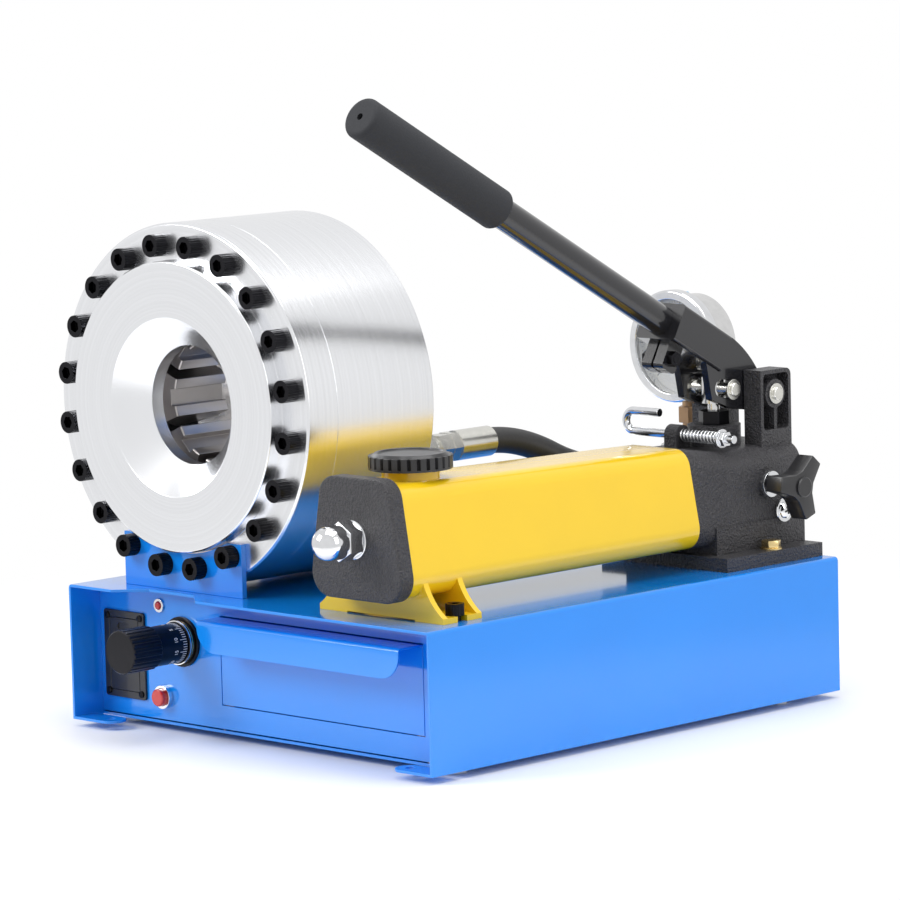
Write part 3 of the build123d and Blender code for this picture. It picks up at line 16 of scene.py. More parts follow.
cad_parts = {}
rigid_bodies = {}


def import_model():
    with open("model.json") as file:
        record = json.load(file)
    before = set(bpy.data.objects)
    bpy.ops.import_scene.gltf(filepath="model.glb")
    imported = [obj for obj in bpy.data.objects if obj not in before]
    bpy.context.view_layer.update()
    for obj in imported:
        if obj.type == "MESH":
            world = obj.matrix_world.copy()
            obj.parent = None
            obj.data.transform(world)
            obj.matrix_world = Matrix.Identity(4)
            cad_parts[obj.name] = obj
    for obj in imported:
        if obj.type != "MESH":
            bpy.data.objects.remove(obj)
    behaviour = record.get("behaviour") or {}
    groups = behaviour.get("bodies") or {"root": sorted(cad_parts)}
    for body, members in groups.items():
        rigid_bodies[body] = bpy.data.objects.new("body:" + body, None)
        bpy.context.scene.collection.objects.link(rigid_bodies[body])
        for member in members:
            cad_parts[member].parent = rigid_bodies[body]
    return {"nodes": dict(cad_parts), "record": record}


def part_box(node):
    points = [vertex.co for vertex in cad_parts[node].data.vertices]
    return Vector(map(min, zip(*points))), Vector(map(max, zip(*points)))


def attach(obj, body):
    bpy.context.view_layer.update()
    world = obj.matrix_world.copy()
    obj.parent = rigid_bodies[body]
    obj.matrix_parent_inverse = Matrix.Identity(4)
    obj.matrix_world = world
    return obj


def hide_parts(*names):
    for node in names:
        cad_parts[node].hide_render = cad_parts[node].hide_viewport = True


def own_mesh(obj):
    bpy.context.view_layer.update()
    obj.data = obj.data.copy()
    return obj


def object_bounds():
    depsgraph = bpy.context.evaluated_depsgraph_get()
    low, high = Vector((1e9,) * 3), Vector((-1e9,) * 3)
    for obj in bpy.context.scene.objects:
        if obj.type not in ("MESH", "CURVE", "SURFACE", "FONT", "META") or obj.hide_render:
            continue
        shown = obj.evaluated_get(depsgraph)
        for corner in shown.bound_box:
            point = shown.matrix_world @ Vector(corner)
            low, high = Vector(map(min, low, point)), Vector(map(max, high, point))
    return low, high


for leftover in list(bpy.data.objects):
    bpy.data.objects.remove(leftover)
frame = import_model()
cad_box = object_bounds()
MM = 0.001

# %% [markdown]
# ## Where things are
# Boxes of a few parts give the axes that everything else is measured from. The head is a body of
# revolution about a line along Y, the tie rod gives the pump's line, and the cabinet's lower front
# corner is the corner that the camera is placed from.


# %% Axes and corners
def middle(node):
    """The centre of a part's box."""
    low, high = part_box(node)
    return (low + high) / 2


corner, cabinet_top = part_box("cabinet_shell")
deck = cabinet_top.z
head = middle("head_cylinder")
head_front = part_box("front_cover")[0].y
head_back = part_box("head_cylinder")[1].y
pump = middle("tie_rod")
print("head axis at", [round(v, 4) for v in (head.x, head.z)], "deck at", round(deck, 4))

# %% [markdown]
# ## Camera
# A long lens from the right front corner, a little above the deck. Its place is measured from the
# cabinet's corner, and it leans by a degree and a half, as a hand-set tripod does.

# %% Camera
LENS = 193.55
SENSOR = 36
AZIMUTH, ELEVATION, LEAN = radians(45.17), radians(7.09), radians(-1.49)
FROM_CORNER = Vector((2.6399, -2.2334, 0.6172))
FAR_END = 50
ahead = Vector((-sin(AZIMUTH) * cos(ELEVATION), cos(AZIMUTH) * cos(ELEVATION), -sin(ELEVATION)))
level_right = Vector((cos(AZIMUTH), sin(AZIMUTH), 0))
level_up = level_right.cross(ahead)
right = level_right * cos(LEAN) + level_up * sin(LEAN)
up = right.cross(ahead)
camera = bpy.data.objects.new("camera", bpy.data.cameras.new("camera"))
bpy.context.scene.collection.objects.link(camera)
camera.data.lens = LENS
camera.data.sensor_width = SENSOR
camera.data.clip_end = FAR_END
camera.matrix_world = Matrix((right, up, -ahead)).transposed().to_4x4()
camera.location = corner + FROM_CORNER
bpy.context.scene.camera = camera
print("camera at", [round(v, 3) for v in camera.location])

# %% [markdown]
# ## A small language for shaders
# A shader is a sum of simple sums, and boxes and wires hide them. This class wraps one socket, so
# that `1 - mask` or `radius * 2` adds the Math node by itself. Anything that is not arithmetic goes
# through one method, `Finish.add`, which takes a node's type, its settings and its inputs.


# %% Sockets with operators
class Socket:
    """An output of a shader tree that understands plus, minus, times and over."""

    def __init__(self, tree, output):
        self.tree = tree
        self.output = output

    def maths(self, operation, first, second=None):
        """A Math node fed with sockets or numbers."""
        node = self.tree.nodes.new("ShaderNodeMath")
        node.operation = operation
        for slot, value in zip(node.inputs, (first, second)):
            if isinstance(value, Socket):
                self.tree.links.new(value.output, slot)
            elif value is not None:
                slot.default_value = value
        return Socket(self.tree, node.outputs[0])

    def __add__(self, other):
        return self.maths("ADD", self, other)

    def __radd__(self, other):
        return self.maths("ADD", other, self)

    def __sub__(self, other):
        return self.maths("SUBTRACT", self, other)

    def __rsub__(self, other):
        return self.maths("SUBTRACT", other, self)

    def __mul__(self, other):
        return self.maths("MULTIPLY", self, other)

    def __rmul__(self, other):
        return self.maths("MULTIPLY", other, self)

    def __truediv__(self, other):
        return self.maths("DIVIDE", self, other)

    def __pow__(self, other):
        return self.maths("POWER", self, other)

    def sine(self):
        return self.maths("SINE", self)


class Finish:
    """One material: a principled shader, and the nodes that feed it."""

    def __init__(self, name, colour, metallic=0.0, roughness=0.5, coat=0.0, coat_roughness=0.05):
        self.material = bpy.data.materials.new(name)
        self.material.use_nodes = True
        self.material.diffuse_color = (*colour, 1)
        self.tree = self.material.node_tree
        self.shader = self.tree.nodes["Principled BSDF"]
        self.set("Base Color", (*colour, 1))
        self.set("Metallic", metallic)
        self.set("Roughness", roughness)
        self.set("Coat Weight", coat)
        self.set("Coat Roughness", coat_roughness)

    def set(self, name, value):
        """Gives an input of the shader a number, a colour or a link."""
        socket = self.shader.inputs[name]
        if isinstance(value, Socket):
            self.tree.links.new(value.output, socket)
        else:
            socket.default_value = value

    def add(self, kind, settings=None, inputs=None, output=0):
        """Adds a node; its settings are set first, then its inputs are given values or links."""
        node = self.tree.nodes.new("ShaderNode" + kind)
        for name, value in (settings or {}).items():
            setattr(node, name, value)
        for name, value in (inputs or {}).items():
            if isinstance(value, Socket):
                self.tree.links.new(value.output, node.inputs[name])
            else:
                node.inputs[name].default_value = value
        return Socket(self.tree, node.outputs[output])

    def place(self):
        """Object coordinates."""
        return self.add("TexCoord", output="Object")

    def shifted(self, centre):
        """Object coordinates measured from a point."""
        back = tuple(-v for v in centre)
        return self.add("Mapping", inputs={"Vector": self.place(), "Location": back})

    def split(self, vector):
        """The three parts of a vector."""
        node = self.tree.nodes.new("ShaderNodeSeparateXYZ")
        self.tree.links.new(vector.output, node.inputs[0])
        return [Socket(self.tree, out) for out in node.outputs]

    def noise(self, scale, detail=3.0, vector=None, roughness=0.5):
        """Cloudy noise between 0 and 1."""
        inputs = {"Scale": scale, "Detail": detail, "Roughness": roughness}
        inputs["Vector"] = vector or self.place()
        return self.add("TexNoise", inputs=inputs)

    def mix(self, factor, dark, light):
        """A colour between two: the node's first input is the factor, and 6 and 7 the colours."""
        node = self.tree.nodes.new("ShaderNodeMix")
        node.data_type = "RGBA"
        self.tree.links.new(factor.output, node.inputs[0])
        node.inputs[6].default_value = (*dark, 1)
        node.inputs[7].default_value = (*light, 1)
        return Socket(self.tree, node.outputs[2])

    def bump(self, height, strength, distance):
        """Lets a height shape the light."""
        inputs = {"Strength": strength, "Distance": distance, "Height": height}
        self.set("Normal", self.add("Bump", inputs=inputs))


def scaled(colour, share, lift=0.0):
    """A colour made darker or lighter."""
    return tuple(v * share + lift for v in colour)


# %% [markdown]
# ## Painted and cast surfaces
# Powder coat and gloss paint are not flat: they have a faint swell, called orange peel, of a
# millimetre or two, and rub a little lighter in places. A large soft noise in the bump gives the
# swell, and another in the roughness keeps the gloss from looking like glass. The black castings
# have a wrinkle finish: a fine, hard, grainy bump that breaks every reflection into sparks.


# %% Paints
def gloss_paint(name, colour, peel=0.00004, roughness=0.22):
    """Sprayed gloss paint with orange peel."""
    finish = Finish(name, colour, roughness=roughness, coat=0.6, coat_roughness=0.06)
    swell = finish.noise(320, 2)
    cloud = finish.noise(9, 4)
    finish.set("Base Color", finish.mix(cloud, scaled(colour, 0.86), colour))
    finish.set("Roughness", roughness - 0.05 + cloud * 0.1)
    finish.bump(swell, 0.25, peel)
    return finish.material


def wrinkle_paint(name, colour, grain=620, depth=0.003, roughness=0.34):
    """Black wrinkle finish on a casting."""
    finish = Finish(name, colour, roughness=roughness)
    grains = finish.noise(grain, 2, roughness=0.6)
    finish.set("Base Color", finish.mix(grains ** 3.0, colour, scaled(colour, 3.0, 0.01)))
    finish.bump(grains, 1.0, depth)
    return finish.material


BLUE = gloss_paint("blue_paint", (0.006, 0.262, 0.900), roughness=0.14)
YELLOW = gloss_paint("yellow_paint", (0.980, 0.640, 0.012), roughness=0.22)
BLACK_GLOSS = gloss_paint("black_paint", (0.010, 0.010, 0.013), roughness=0.22)
WRINKLE = wrinkle_paint("black_wrinkle", (0.030, 0.029, 0.033))
print("paints made")

# %% [markdown]
# ## Metals
# The head is turned on a lathe, so its marks are rings round its own axis. On the flat face they
# are rings of one radius and on the outside they are rings of one depth, so the sum of radius and
# depth gives both. The rings are only in the bump and the roughness: light itself then draws the
# bright fans that a turned face shows. Screws are blackened, and small plated parts are bright
# zinc with a faint warm tint.


# %% Metals
def turned_steel(name, colour, roughness, centre, pitch=0.0005):
    """Steel with lathe marks round an axis along Y."""
    finish = Finish(name, colour, metallic=1.0, roughness=roughness)
    x, y, z = finish.split(finish.shifted(centre))
    radius = (x * x + z * z) ** 0.5
    along = radius + y
    wobble = finish.noise(14, 3)
    marks = (along * (2 * pi / pitch) + wobble * 0.5).sine()
    stretched = finish.add("CombineXYZ", inputs={"X": along * 420.0, "Y": 0.0, "Z": 0.0})
    bands = finish.noise(1.0, 4, vector=stretched)
    finish.set("Roughness", roughness + bands * 0.08)
    finish.set("Base Color", finish.mix(bands, scaled(colour, 0.84), colour))
    finish.bump(marks * 0.5 + bands, 0.16, 0.00002)
    return finish.material


def plain_metal(name, colour, roughness, mottle=0.06, grain=180):
    """Plated or ground metal with a faint mottle."""
    finish = Finish(name, colour, metallic=1.0, roughness=roughness)
    spots = finish.noise(grain, 3)
    finish.set("Base Color", finish.mix(spots, scaled(colour, 0.82), colour))
    finish.set("Roughness", roughness - mottle / 2 + spots * mottle)
    finish.bump(finish.noise(grain * 6, 2), 0.15, 0.00002)
    return finish.material


TURNED = turned_steel("turned_steel", (0.95, 0.96, 0.985), 0.20, (head.x, 0, head.z))
DIE_STEEL = plain_metal("die_steel", (0.56, 0.53, 0.52), 0.34, 0.2, 60)
OXIDE = plain_metal("black_oxide", (0.022, 0.022, 0.025), 0.32)
BRIGHT = plain_metal("bright_steel", (0.80, 0.80, 0.80), 0.16)
ZINC = plain_metal("zinc_plate", (0.80, 0.79, 0.74), 0.24)
YELLOW_ZINC = plain_metal("yellow_zinc", (0.80, 0.62, 0.30), 0.26)
CHROME = plain_metal("chrome_plate", (0.86, 0.87, 0.89), 0.06, 0.03)
BRONZE = plain_metal("bronze", (0.44, 0.28, 0.16), 0.32)
BRASS = plain_metal("brass_ring", (0.83, 0.62, 0.30), 0.2)
ANODISED = plain_metal("black_anodised", (0.03, 0.03, 0.034), 0.34)
print("metals made")

# %% [markdown]
# ## Rubber, foam and plastic
# The grip is closed-cell foam: dull, and pitted all over. The hose cover is rubber with a cloth
# print that is almost gone. Plastics are smooth, with a trace of grain from the mould.


# %% Soft and moulded
def rubber(name, colour, grain, depth, roughness):
    """A dull skin with fine pits."""
    finish = Finish(name, colour, roughness=roughness)
    pits = finish.noise(grain, 4, roughness=0.65)
    finish.set("Base Color", finish.mix(pits, colour, scaled(colour, 2.2, 0.006)))
    finish.bump(pits, 0.7, depth)
    return finish.material


def plastic(name, colour, roughness=0.35, coat=0.2):
    """Moulded plastic with a trace of grain."""
    finish = Finish(name, colour, roughness=roughness, coat=coat)
    grain = finish.noise(700, 2)
    finish.set("Base Color", finish.mix(grain, scaled(colour, 0.8), colour))
    finish.bump(grain, 0.2, 0.00003)
    return finish.material


FOAM = rubber("foam", (0.011, 0.012, 0.015), 900, 0.0005, 0.75)
HOSE = rubber("hose_rubber", (0.014, 0.014, 0.015), 500, 0.0001, 0.5)
BLACK = plastic("black_plastic", (0.018, 0.018, 0.020))
RED = plastic("red_plastic", (0.62, 0.015, 0.012), 0.22, 0.6)
PALE = plastic("white_face", (0.86, 0.86, 0.84), 0.5, 0.0)
GREY = plastic("grey_plastic", (0.12, 0.12, 0.13))
CYAN = plastic("blue_plug", (0.05, 0.42, 0.72))
# Black for printed marks and the needle, and also painted shade for the plug screw's cross slot.
INK_AND_PAINTED_SHADE = plastic("ink_and_painted_shade", (0.02, 0.02, 0.02), 0.6, 0.0)
WHITE_INK = plastic("white_ink", (0.85, 0.85, 0.85), 0.6, 0.0)


def lens_glass(name):
    """Clear glass that stays see-through in any renderer."""
    finish = Finish(name, (0.95, 0.97, 0.97), roughness=0.03, coat=0.3)
    finish.set("Alpha", 0.16)
    finish.bump(finish.noise(30, 1), 0.02, 0.00002)
    return finish.material


GLASS = lens_glass("clear_glass")
print("rubber, foam and plastics made")

# %% [markdown]
# ## Dressing a part
# A working model is made of loose triangles with knife edges, and real edges are never that sharp.
# The shape is right, though, so the part is copied, its corners are joined, flat triangles are
# merged into whole faces, and a narrow bevel rounds every edge. The copy stands for the part.


# %% Helpers that make pieces
def link(name, mesh, material, slot):
    """Puts a finished mesh into the scene."""
    piece = bpy.data.objects.new(name, mesh)
    bpy.context.scene.collection.objects.link(piece)
    mesh.materials.clear()
    mesh.materials.append(material)
    return piece


def soften(bm, angle):
    """Smooth shading, with edges sharper than the angle kept as edges."""
    for face in bm.faces:
        face.smooth = True
    for edge in bm.edges:
        edge.smooth = edge.calc_face_angle(0.0) < radians(angle)


def round_edges(piece, width, angle):
    """Rounds the edges that turn by more than the angle; the width is in millimetres."""
    bevel = piece.modifiers.new("edges", "BEVEL")
    bevel.width = width * MM
    bevel.segments = 2
    bevel.limit_method = "ANGLE"
    bevel.angle_limit = radians(angle)
    bevel.harden_normals = True


def slot_of(node):
    """The material slot that a part has in the model."""
    for row in frame["record"]["subparts"]:
        if row["node"] == node:
            return row["material_slot"]


def body_of(node):
    """The moving body that a part belongs to."""
    for body, nodes in frame["record"]["behaviour"]["bodies"].items():
        if node in nodes:
            return body


JOIN, FLAT, SHARP = 0.002, 0.4, 28      # millimetres, degrees and degrees


def dress(node, material, edge):
    """A copy of a part with joined corners and rounded edges, in its place."""
    mesh = frame["nodes"][node].data.copy()
    bm = bmesh.new()
    bm.from_mesh(mesh)
    bmesh.ops.remove_doubles(bm, verts=bm.verts, dist=JOIN * MM)
    bmesh.ops.dissolve_limit(bm, angle_limit=radians(FLAT), verts=bm.verts, edges=bm.edges)
    soften(bm, SHARP)
    bm.to_mesh(mesh)
    bm.free()
    piece = link("fine_" + node, mesh, material, slot_of(node))
    if edge:
        round_edges(piece, edge, SHARP)
    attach(piece, body_of(node))
    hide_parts(node)


print("helpers ready")

# %% [markdown]
# ## The parts that keep their shape
# Each part is listed with its finish and the width of its rounded edges in millimetres. Thin sheet
# gets narrow edges, and the casting's are broad. A zero keeps the edge that the part has.

# %% Parts and finishes
PLAIN = {
    "cabinet_shell": (BLUE, 0.5),
    "front_panel": (BLUE, 0.3),
    "base_tray": (BLUE, 0.3),
    "drawer": (BLUE, 0.4),
    "drawer_runners": (ZINC, 0.2),
    "head_brackets": (BLUE, 0.6),
    "foot_bolts": (ZINC, 0.5),
    "ring_piston": (BRIGHT, 0.4),
    "piston_seal": (HOSE, 0),
    "sleeve_seal": (HOSE, 0),
    "tank_end_cap": (WRINKLE, 0),
    "oil_tank": (YELLOW, 0.8),
    "tie_rod": (BRIGHT, 0),
    "pump_body": (WRINKLE, 1.2),
    "gland_nut": (OXIDE, 0.6),
    "plunger": (BRIGHT, 0.3),
    "plunger_pin": (ZINC, 0.2),
    "fulcrum_pin": (ZINC, 0.2),
    "lever_head": (BLACK_GLOSS, 0.8),
    "clamp_bolt": (OXIDE, 0.4),
    "lever_rod": (BLACK_GLOSS, 0.3),
    "lever_grip": (FOAM, 0),
    "valve_collar": (CHROME, 0.3),
    "valve_stem": (OXIDE, 0.3),
    "latch_rod": (CHROME, 0.3),
    "manifold_block": (OXIDE, 0.4),
    "hose_fittings": (ZINC, 0.5),
    "hydraulic_hose": (HOSE, 0),
    "gauge_case": (BRIGHT, 0.5),
    "gauge_bezel": (CHROME, 0.6),
    "gauge_lens": (GLASS, 0.2),
    "gauge_dial": (PALE, 0),
    "gauge_stem": (BRONZE, 0.4),
    "dial_thimble": (ANODISED, 0.2),
    "dial_collar": (ANODISED, 0.3),
    "dial_spindle": (BRIGHT, 0.2),
    "limit_switch": (BLACK, 0.3),
    "panel_housings": (CHROME, 0.3),
    "lamp_lens": (RED, 0),
    "push_button": (RED, 0.3),
    "battery_box": (BLACK, 0.5),
    "battery_tray": (BLACK, 0.4),
    "battery": (GREY, 0.4),
}
for node, (material, edge) in PLAIN.items():
    dress(node, material, edge)
DIES = 8
for number in range(1, DIES + 1):
    dress("master_die_%d" % number, DIE_STEEL, 0.5)
print(len(PLAIN) + DIES, "parts dressed")

# %% [markdown]
# ## Making new pieces
# A new piece is shaped in millimetres about its own origin, and a matrix then sets it in its place
# in metres. Round ones are spun from a profile of a few points, and the others stand on an outline.
# Several solids may make one piece, as the head, the flange and the shank of a bolt do.


# %% Helpers that shape pieces
TO_FRONT = Matrix.Rotation(radians(90), 4, "X")         # what stands up points to -Y
TO_BACK = Matrix.Rotation(radians(-90), 4, "X")         # and to +Y
TO_SIDE = Matrix(((0, 0, 1, 0), (1, 0, 0, 0), (0, 1, 0, 0), (0, 0, 0, 1)))      # and to +X


def at(point, turn=Matrix.Identity(4)):
    """Sets a millimetre mesh at a point in metres, turned."""
    return Matrix.Translation(point) @ turn @ Matrix.Scale(MM, 4)


def shift(x, y, z):
    """A move in millimetres, inside the place that at() gives."""
    return Matrix.Translation((x, y, z))


def spin_z(angle):
    """A turn about the piece's own Z."""
    return Matrix.Rotation(angle, 4, "Z")


def lathe(points, axis="Z", steps=48):
    """A mesh spun from (radius, along) points about an axis through the origin."""
    bm = bmesh.new()
    turn = Matrix.Identity(3) if axis == "Y" else Matrix.Rotation(radians(90), 3, "X")
    verts = [bm.verts.new(turn @ Vector((radius, along, 0))) for radius, along in points]
    edges = [bm.edges.new(pair) for pair in zip(verts, verts[1:])]
    if points[0][0] > 0 and points[-1][0] > 0:
        edges.append(bm.edges.new((verts[-1], verts[0])))
    bmesh.ops.spin(bm, geom=verts + edges, cent=(0, 0, 0), axis=turn @ Vector((0, 1, 0)),
                   angle=2 * pi, steps=steps, use_merge=True)
    bmesh.ops.remove_doubles(bm, verts=bm.verts, dist=0.001)
    bmesh.ops.recalc_face_normals(bm, faces=bm.faces)
    return bm


def raised(bm, face, height):
    """Extrudes a face along Z; the face itself stays where it was."""
    grown = bmesh.ops.extrude_face_region(bm, geom=[face])
    moved = [v for v in grown["geom"] if isinstance(v, bmesh.types.BMVert)]
    bmesh.ops.translate(bm, verts=moved, vec=(0, 0, height))


def bevelled(bm, edges, width, segments):
    """Rounds edges of a mesh."""
    bmesh.ops.bevel(bm, geom=edges, offset=width, segments=segments, profile=0.5,
                    affect="EDGES", material=-1)


def prism(outline, height, rounding=0.0):
    """A solid that stands on an outline in XY, with its edges rounded."""
    bm = bmesh.new()
    raised(bm, bm.faces.new([bm.verts.new((x, y, 0)) for x, y in outline]), height)
    bmesh.ops.recalc_face_normals(bm, faces=bm.faces)
    if rounding:
        bevelled(bm, bm.edges, rounding, 2)
    return bm


def polar(radius, turn):
    """A point by its radius and its turn."""
    return radius * cos(turn), radius * sin(turn)


def ring_of(count, radius, turn=0.0):
    """The corners of a regular figure."""
    return [polar(radius, turn + 2 * pi * n / count) for n in range(count)]


def joined(parts):
    """One mesh from several, each with the matrix that puts it in its place."""
    whole = bmesh.new()
    for part, matrix in parts:
        bmesh.ops.transform(part, matrix=matrix, verts=part.verts)
        single = bpy.data.meshes.new("single")
        part.to_mesh(single)
        part.free()
        whole.from_mesh(single)
        bpy.data.meshes.remove(single)
    return whole


def finish_piece(parts, name, material, slot, body="frame", angle=30, edge=0.0, replaces=()):
    """A piece from its solids, with its finish, the body that it rides and what it stands for."""
    bm = joined(parts)
    soften(bm, angle)
    mesh = bpy.data.meshes.new(name)
    bm.to_mesh(mesh)
    bm.free()
    piece = link(name, mesh, material, slot)
    if edge:
        round_edges(piece, edge, angle)
    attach(piece, body)
    if replaces:
        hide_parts(*replaces)
    return piece


print("shaping helpers ready")

# %% [markdown]
# ## The head, turned afresh
# The cover and the cylinder are what the eye meets first, and their faces catch the light as rings.
# A profile of a few points is spun about the head's axis in 256 steps, so that no facet shows. Its
# depths are measured back from the cover's nose. The screw holes are left out, because a screw's
# head covers each of them.

# %% Cover and cylinder
HEAD_STEPS = 256
HEAD_R, NOSE_R, MOUTH_R, BORE_R = 130, 103.6, 63.8, 42.4
NOSE_T, COVER_T = 11.2, 28.4            # the nose, and from the bolt ring to the seam
MOUTH_DEPTH, THROAT_DEPTH = 20.5, 30.9
THROAT_R, CONE_R, SPIGOT_R = 49.85, 67.2, 103.95
NOSE_EDGE, RIM_EDGE, REAR_EDGE = 1.0, 1.5, 3.3
CYLINDER_R, SLEEVE_BORE = 104, 54.05
REAR_WALL, SEAL_HALF, SEAL_DEPTH = 17.4, 3, 5
nose = Vector((head.x, head_front, head.z))
seam = NOSE_T + COVER_T
spigot = (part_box("front_cover")[1].y - head_front) / MM
rear = (head_back - head_front) / MM
cover = lathe(
    [(BORE_R, MOUTH_DEPTH), (MOUTH_R, 0), (NOSE_R - NOSE_EDGE, 0), (NOSE_R, NOSE_EDGE),
     (NOSE_R, NOSE_T), (HEAD_R - RIM_EDGE, NOSE_T), (HEAD_R, NOSE_T + RIM_EDGE), (HEAD_R, seam),
     (SPIGOT_R, seam), (SPIGOT_R, spigot), (CONE_R, spigot), (THROAT_R, THROAT_DEPTH),
     (BORE_R, THROAT_DEPTH)], "Y", HEAD_STEPS)
finish_piece([(cover, at(nose))], "turned_cover", TURNED, "turned_steel",
             angle=20, edge=0.35, replaces=["front_cover"])

groove = rear - REAR_WALL / 2
cylinder = lathe(
    [(CYLINDER_R, seam), (HEAD_R, seam), (HEAD_R, rear - REAR_EDGE), (HEAD_R - REAR_EDGE, rear),
     (SLEEVE_BORE, rear), (SLEEVE_BORE, groove + SEAL_HALF),
     (SLEEVE_BORE + SEAL_DEPTH, groove + SEAL_HALF), (SLEEVE_BORE + SEAL_DEPTH, groove - SEAL_HALF),
     (SLEEVE_BORE, groove - SEAL_HALF), (SLEEVE_BORE, rear - REAR_WALL),
     (CYLINDER_R, rear - REAR_WALL)], "Y", HEAD_STEPS)
finish_piece([(cylinder, at(nose))], "turned_cylinder", TURNED, "turned_steel",
             angle=20, edge=0.35, replaces=["head_cylinder"])
print("head turned,", round(rear, 1), "mm long")

# %% [markdown]
# ## Socket screws
# Each screw is a drum with a knurled side and a six-sided socket. Half of the faces of the drum's
# side are pressed in for the knurl. They are picked in the order that the extrusion gives, which
# isn't the order round the drum and changes from run to run, so the knurl is uneven. The lid is
# set in twice before its rim is drawn to a hexagon and sunk. Twenty screws stand round the cover,
# the lowest four of them on the blue bracket, and four more hold the bracket at the rear.


# %% Socket screws
KNURL_FACES = 48
KNURL_EDGE, KNURL_DEPTH = 0.03, 0.035   # shares of the radius, as are the two rims
OUTER_RIM, INNER_RIM = 0.16, 0.08


def top_face(bm):
    """The largest of the highest faces."""
    return max(bm.faces, key=lambda f: (round(f.calc_center_median().z, 3), f.calc_area()))


def socket_screw(radius, height, across, depth):
    """A screw's head that stands on the XY plane."""
    bm = bmesh.new()
    bmesh.ops.create_circle(bm, cap_ends=True, radius=radius, segments=KNURL_FACES)
    raised(bm, top_face(bm), height)
    side = [f for f in bm.faces if abs(f.calc_center_median().z - height / 2) < height / 4]
    for face in side[::2]:
        bmesh.ops.inset_individual(bm, faces=[face], thickness=radius * KNURL_EDGE,
                                   depth=-radius * KNURL_DEPTH)
    for rim in (OUTER_RIM, INNER_RIM):
        bmesh.ops.inset_region(bm, faces=[top_face(bm)], thickness=radius * rim, depth=0)
    lid = top_face(bm)
    for vert in lid.verts:
        angle = atan2(vert.co.y, vert.co.x)
        off_flat = angle % (pi / 3) - pi / 6
        vert.co.x, vert.co.y = polar(across / 2 / cos(off_flat), angle)
    raised(bm, lid, -depth)
    bmesh.ops.delete(bm, geom=[lid], context="FACES_ONLY")
    bmesh.ops.recalc_face_normals(bm, faces=bm.faces)
    return bm


SCREWS, BOLT_CIRCLE_R = 20, 115
SCREW_SIZE = (8, 10, 8, 5)              # radius, height, socket across its flats, socket depth
BRACKET_T = 4.4
BRACKET_BELOW = -0.88                   # sine of the angle under which a screw is on the bracket
UNEVEN = 7.3                            # turns every socket another way
screws, rear_screws = [], []
for number in range(SCREWS):
    angle = radians(360 / SCREWS * (number + 0.5) - 90)
    x, z = polar(BOLT_CIRCLE_R, angle)
    twist = spin_z(angle * UNEVEN)
    on_bracket = sin(angle) < BRACKET_BELOW
    front = NOSE_T - (BRACKET_T if on_bracket else 0)
    screws.append((socket_screw(*SCREW_SIZE), at(nose) @ shift(x, front, z) @ TO_FRONT @ twist))
    if on_bracket:
        back = at(nose) @ shift(x, rear + BRACKET_T, z) @ TO_BACK @ twist
        rear_screws.append((socket_screw(*SCREW_SIZE), back))
finish_piece(screws + rear_screws, "socket_screws", OXIDE, "black_oxide",
             angle=35, edge=0.5, replaces=["head_bolts"])
print(len(screws) + len(rear_screws), "socket screws")

# %% [markdown]
# ## The latch spring
# A compression spring is a wire wound round a rod. One ring of wire is turned and advanced a
# little at a time, so that an even helix grows. The share of its length that is left when the
# latch has travelled is worked out, but nothing uses it: the spring keeps its length as the latch
# is pulled.

# %% Latch spring
WIRE_R, WIRE_SIDES = 0.75, 8
TURNS, STEPS = 11, 20
spring_low, spring_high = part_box("latch_spring")
spring_end = Vector((spring_low.x, middle("latch_spring").y, middle("latch_spring").z))
spring_length = spring_high.x - spring_low.x
coil_r = (spring_high.z - spring_low.z) / 2 / MM - WIRE_R
advance = (spring_length / MM - 2 * WIRE_R) / (TURNS * STEPS)
coil = bmesh.new()
bmesh.ops.create_circle(coil, radius=WIRE_R, segments=WIRE_SIDES,
                        matrix=shift(WIRE_R, WIRE_R, coil_r) @ TO_FRONT)
bmesh.ops.spin(coil, geom=list(coil.verts) + list(coil.edges), cent=(0, 0, 0), axis=(1, 0, 0),
               angle=2 * pi * TURNS, steps=TURNS * STEPS, dvec=(advance, 0, 0))
bmesh.ops.holes_fill(coil, edges=coil.edges, sides=WIRE_SIDES)
bmesh.ops.recalc_face_normals(coil, faces=coil.faces)
spring = finish_piece([(coil, at(spring_end))], "latch_coil", CHROME, "chrome",
                      angle=60, replaces=["latch_spring"])
travel = [row["range_m"][1] for row in frame["record"]["behaviour"]["joints"]
          if row["name"] == "latch_pull"][0]
1 - travel / spring_length
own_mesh(spring)
print("spring of", TURNS, "turns,", round(spring_length / MM, 1), "mm long")

# %% [markdown]
# ## The tank's nut
# A domed nut closes the tie rod, over a plain washer. Its dome is a quarter circle that is spun
# about the rod.

# %% Domed nut
WASHER_R, WASHER_HOLE, WASHER_T, WASHER_EDGE = 13.5, 8, 3, 0.4
NUT_AF, NUT_H, NUT_EDGE = 24, 13, 1.1
DOME_R, DOME_H, DOME_POINTS = 11.9, 20, 12
washer = lathe([(WASHER_HOLE, -WASHER_T), (WASHER_R - WASHER_EDGE, -WASHER_T),
                (WASHER_R, WASHER_EDGE - WASHER_T), (WASHER_R, 0), (WASHER_HOLE, 0)], "Y", 128)
foot = WASHER_T + NUT_H
ball = foot + DOME_H - DOME_R
arc = [polar(DOME_R, -pi / 2 * n / DOME_POINTS) for n in range(DOME_POINTS)]
dome = lathe([(0, -foot), (DOME_R, -foot)] + [(radius, along - ball) for radius, along in arc]
             + [(0, -foot - DOME_H)], "Y", 128)
hexagon = prism(ring_of(6, NUT_AF / 2 / cos(pi / 6), pi / 6), NUT_H)
level = [e for e in hexagon.edges if abs(e.verts[0].co.z - e.verts[1].co.z) < 0.001]
bevelled(hexagon, level, NUT_EDGE, 3)
cap_face = at((pump.x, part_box("cap_nut")[1].y, pump.z))
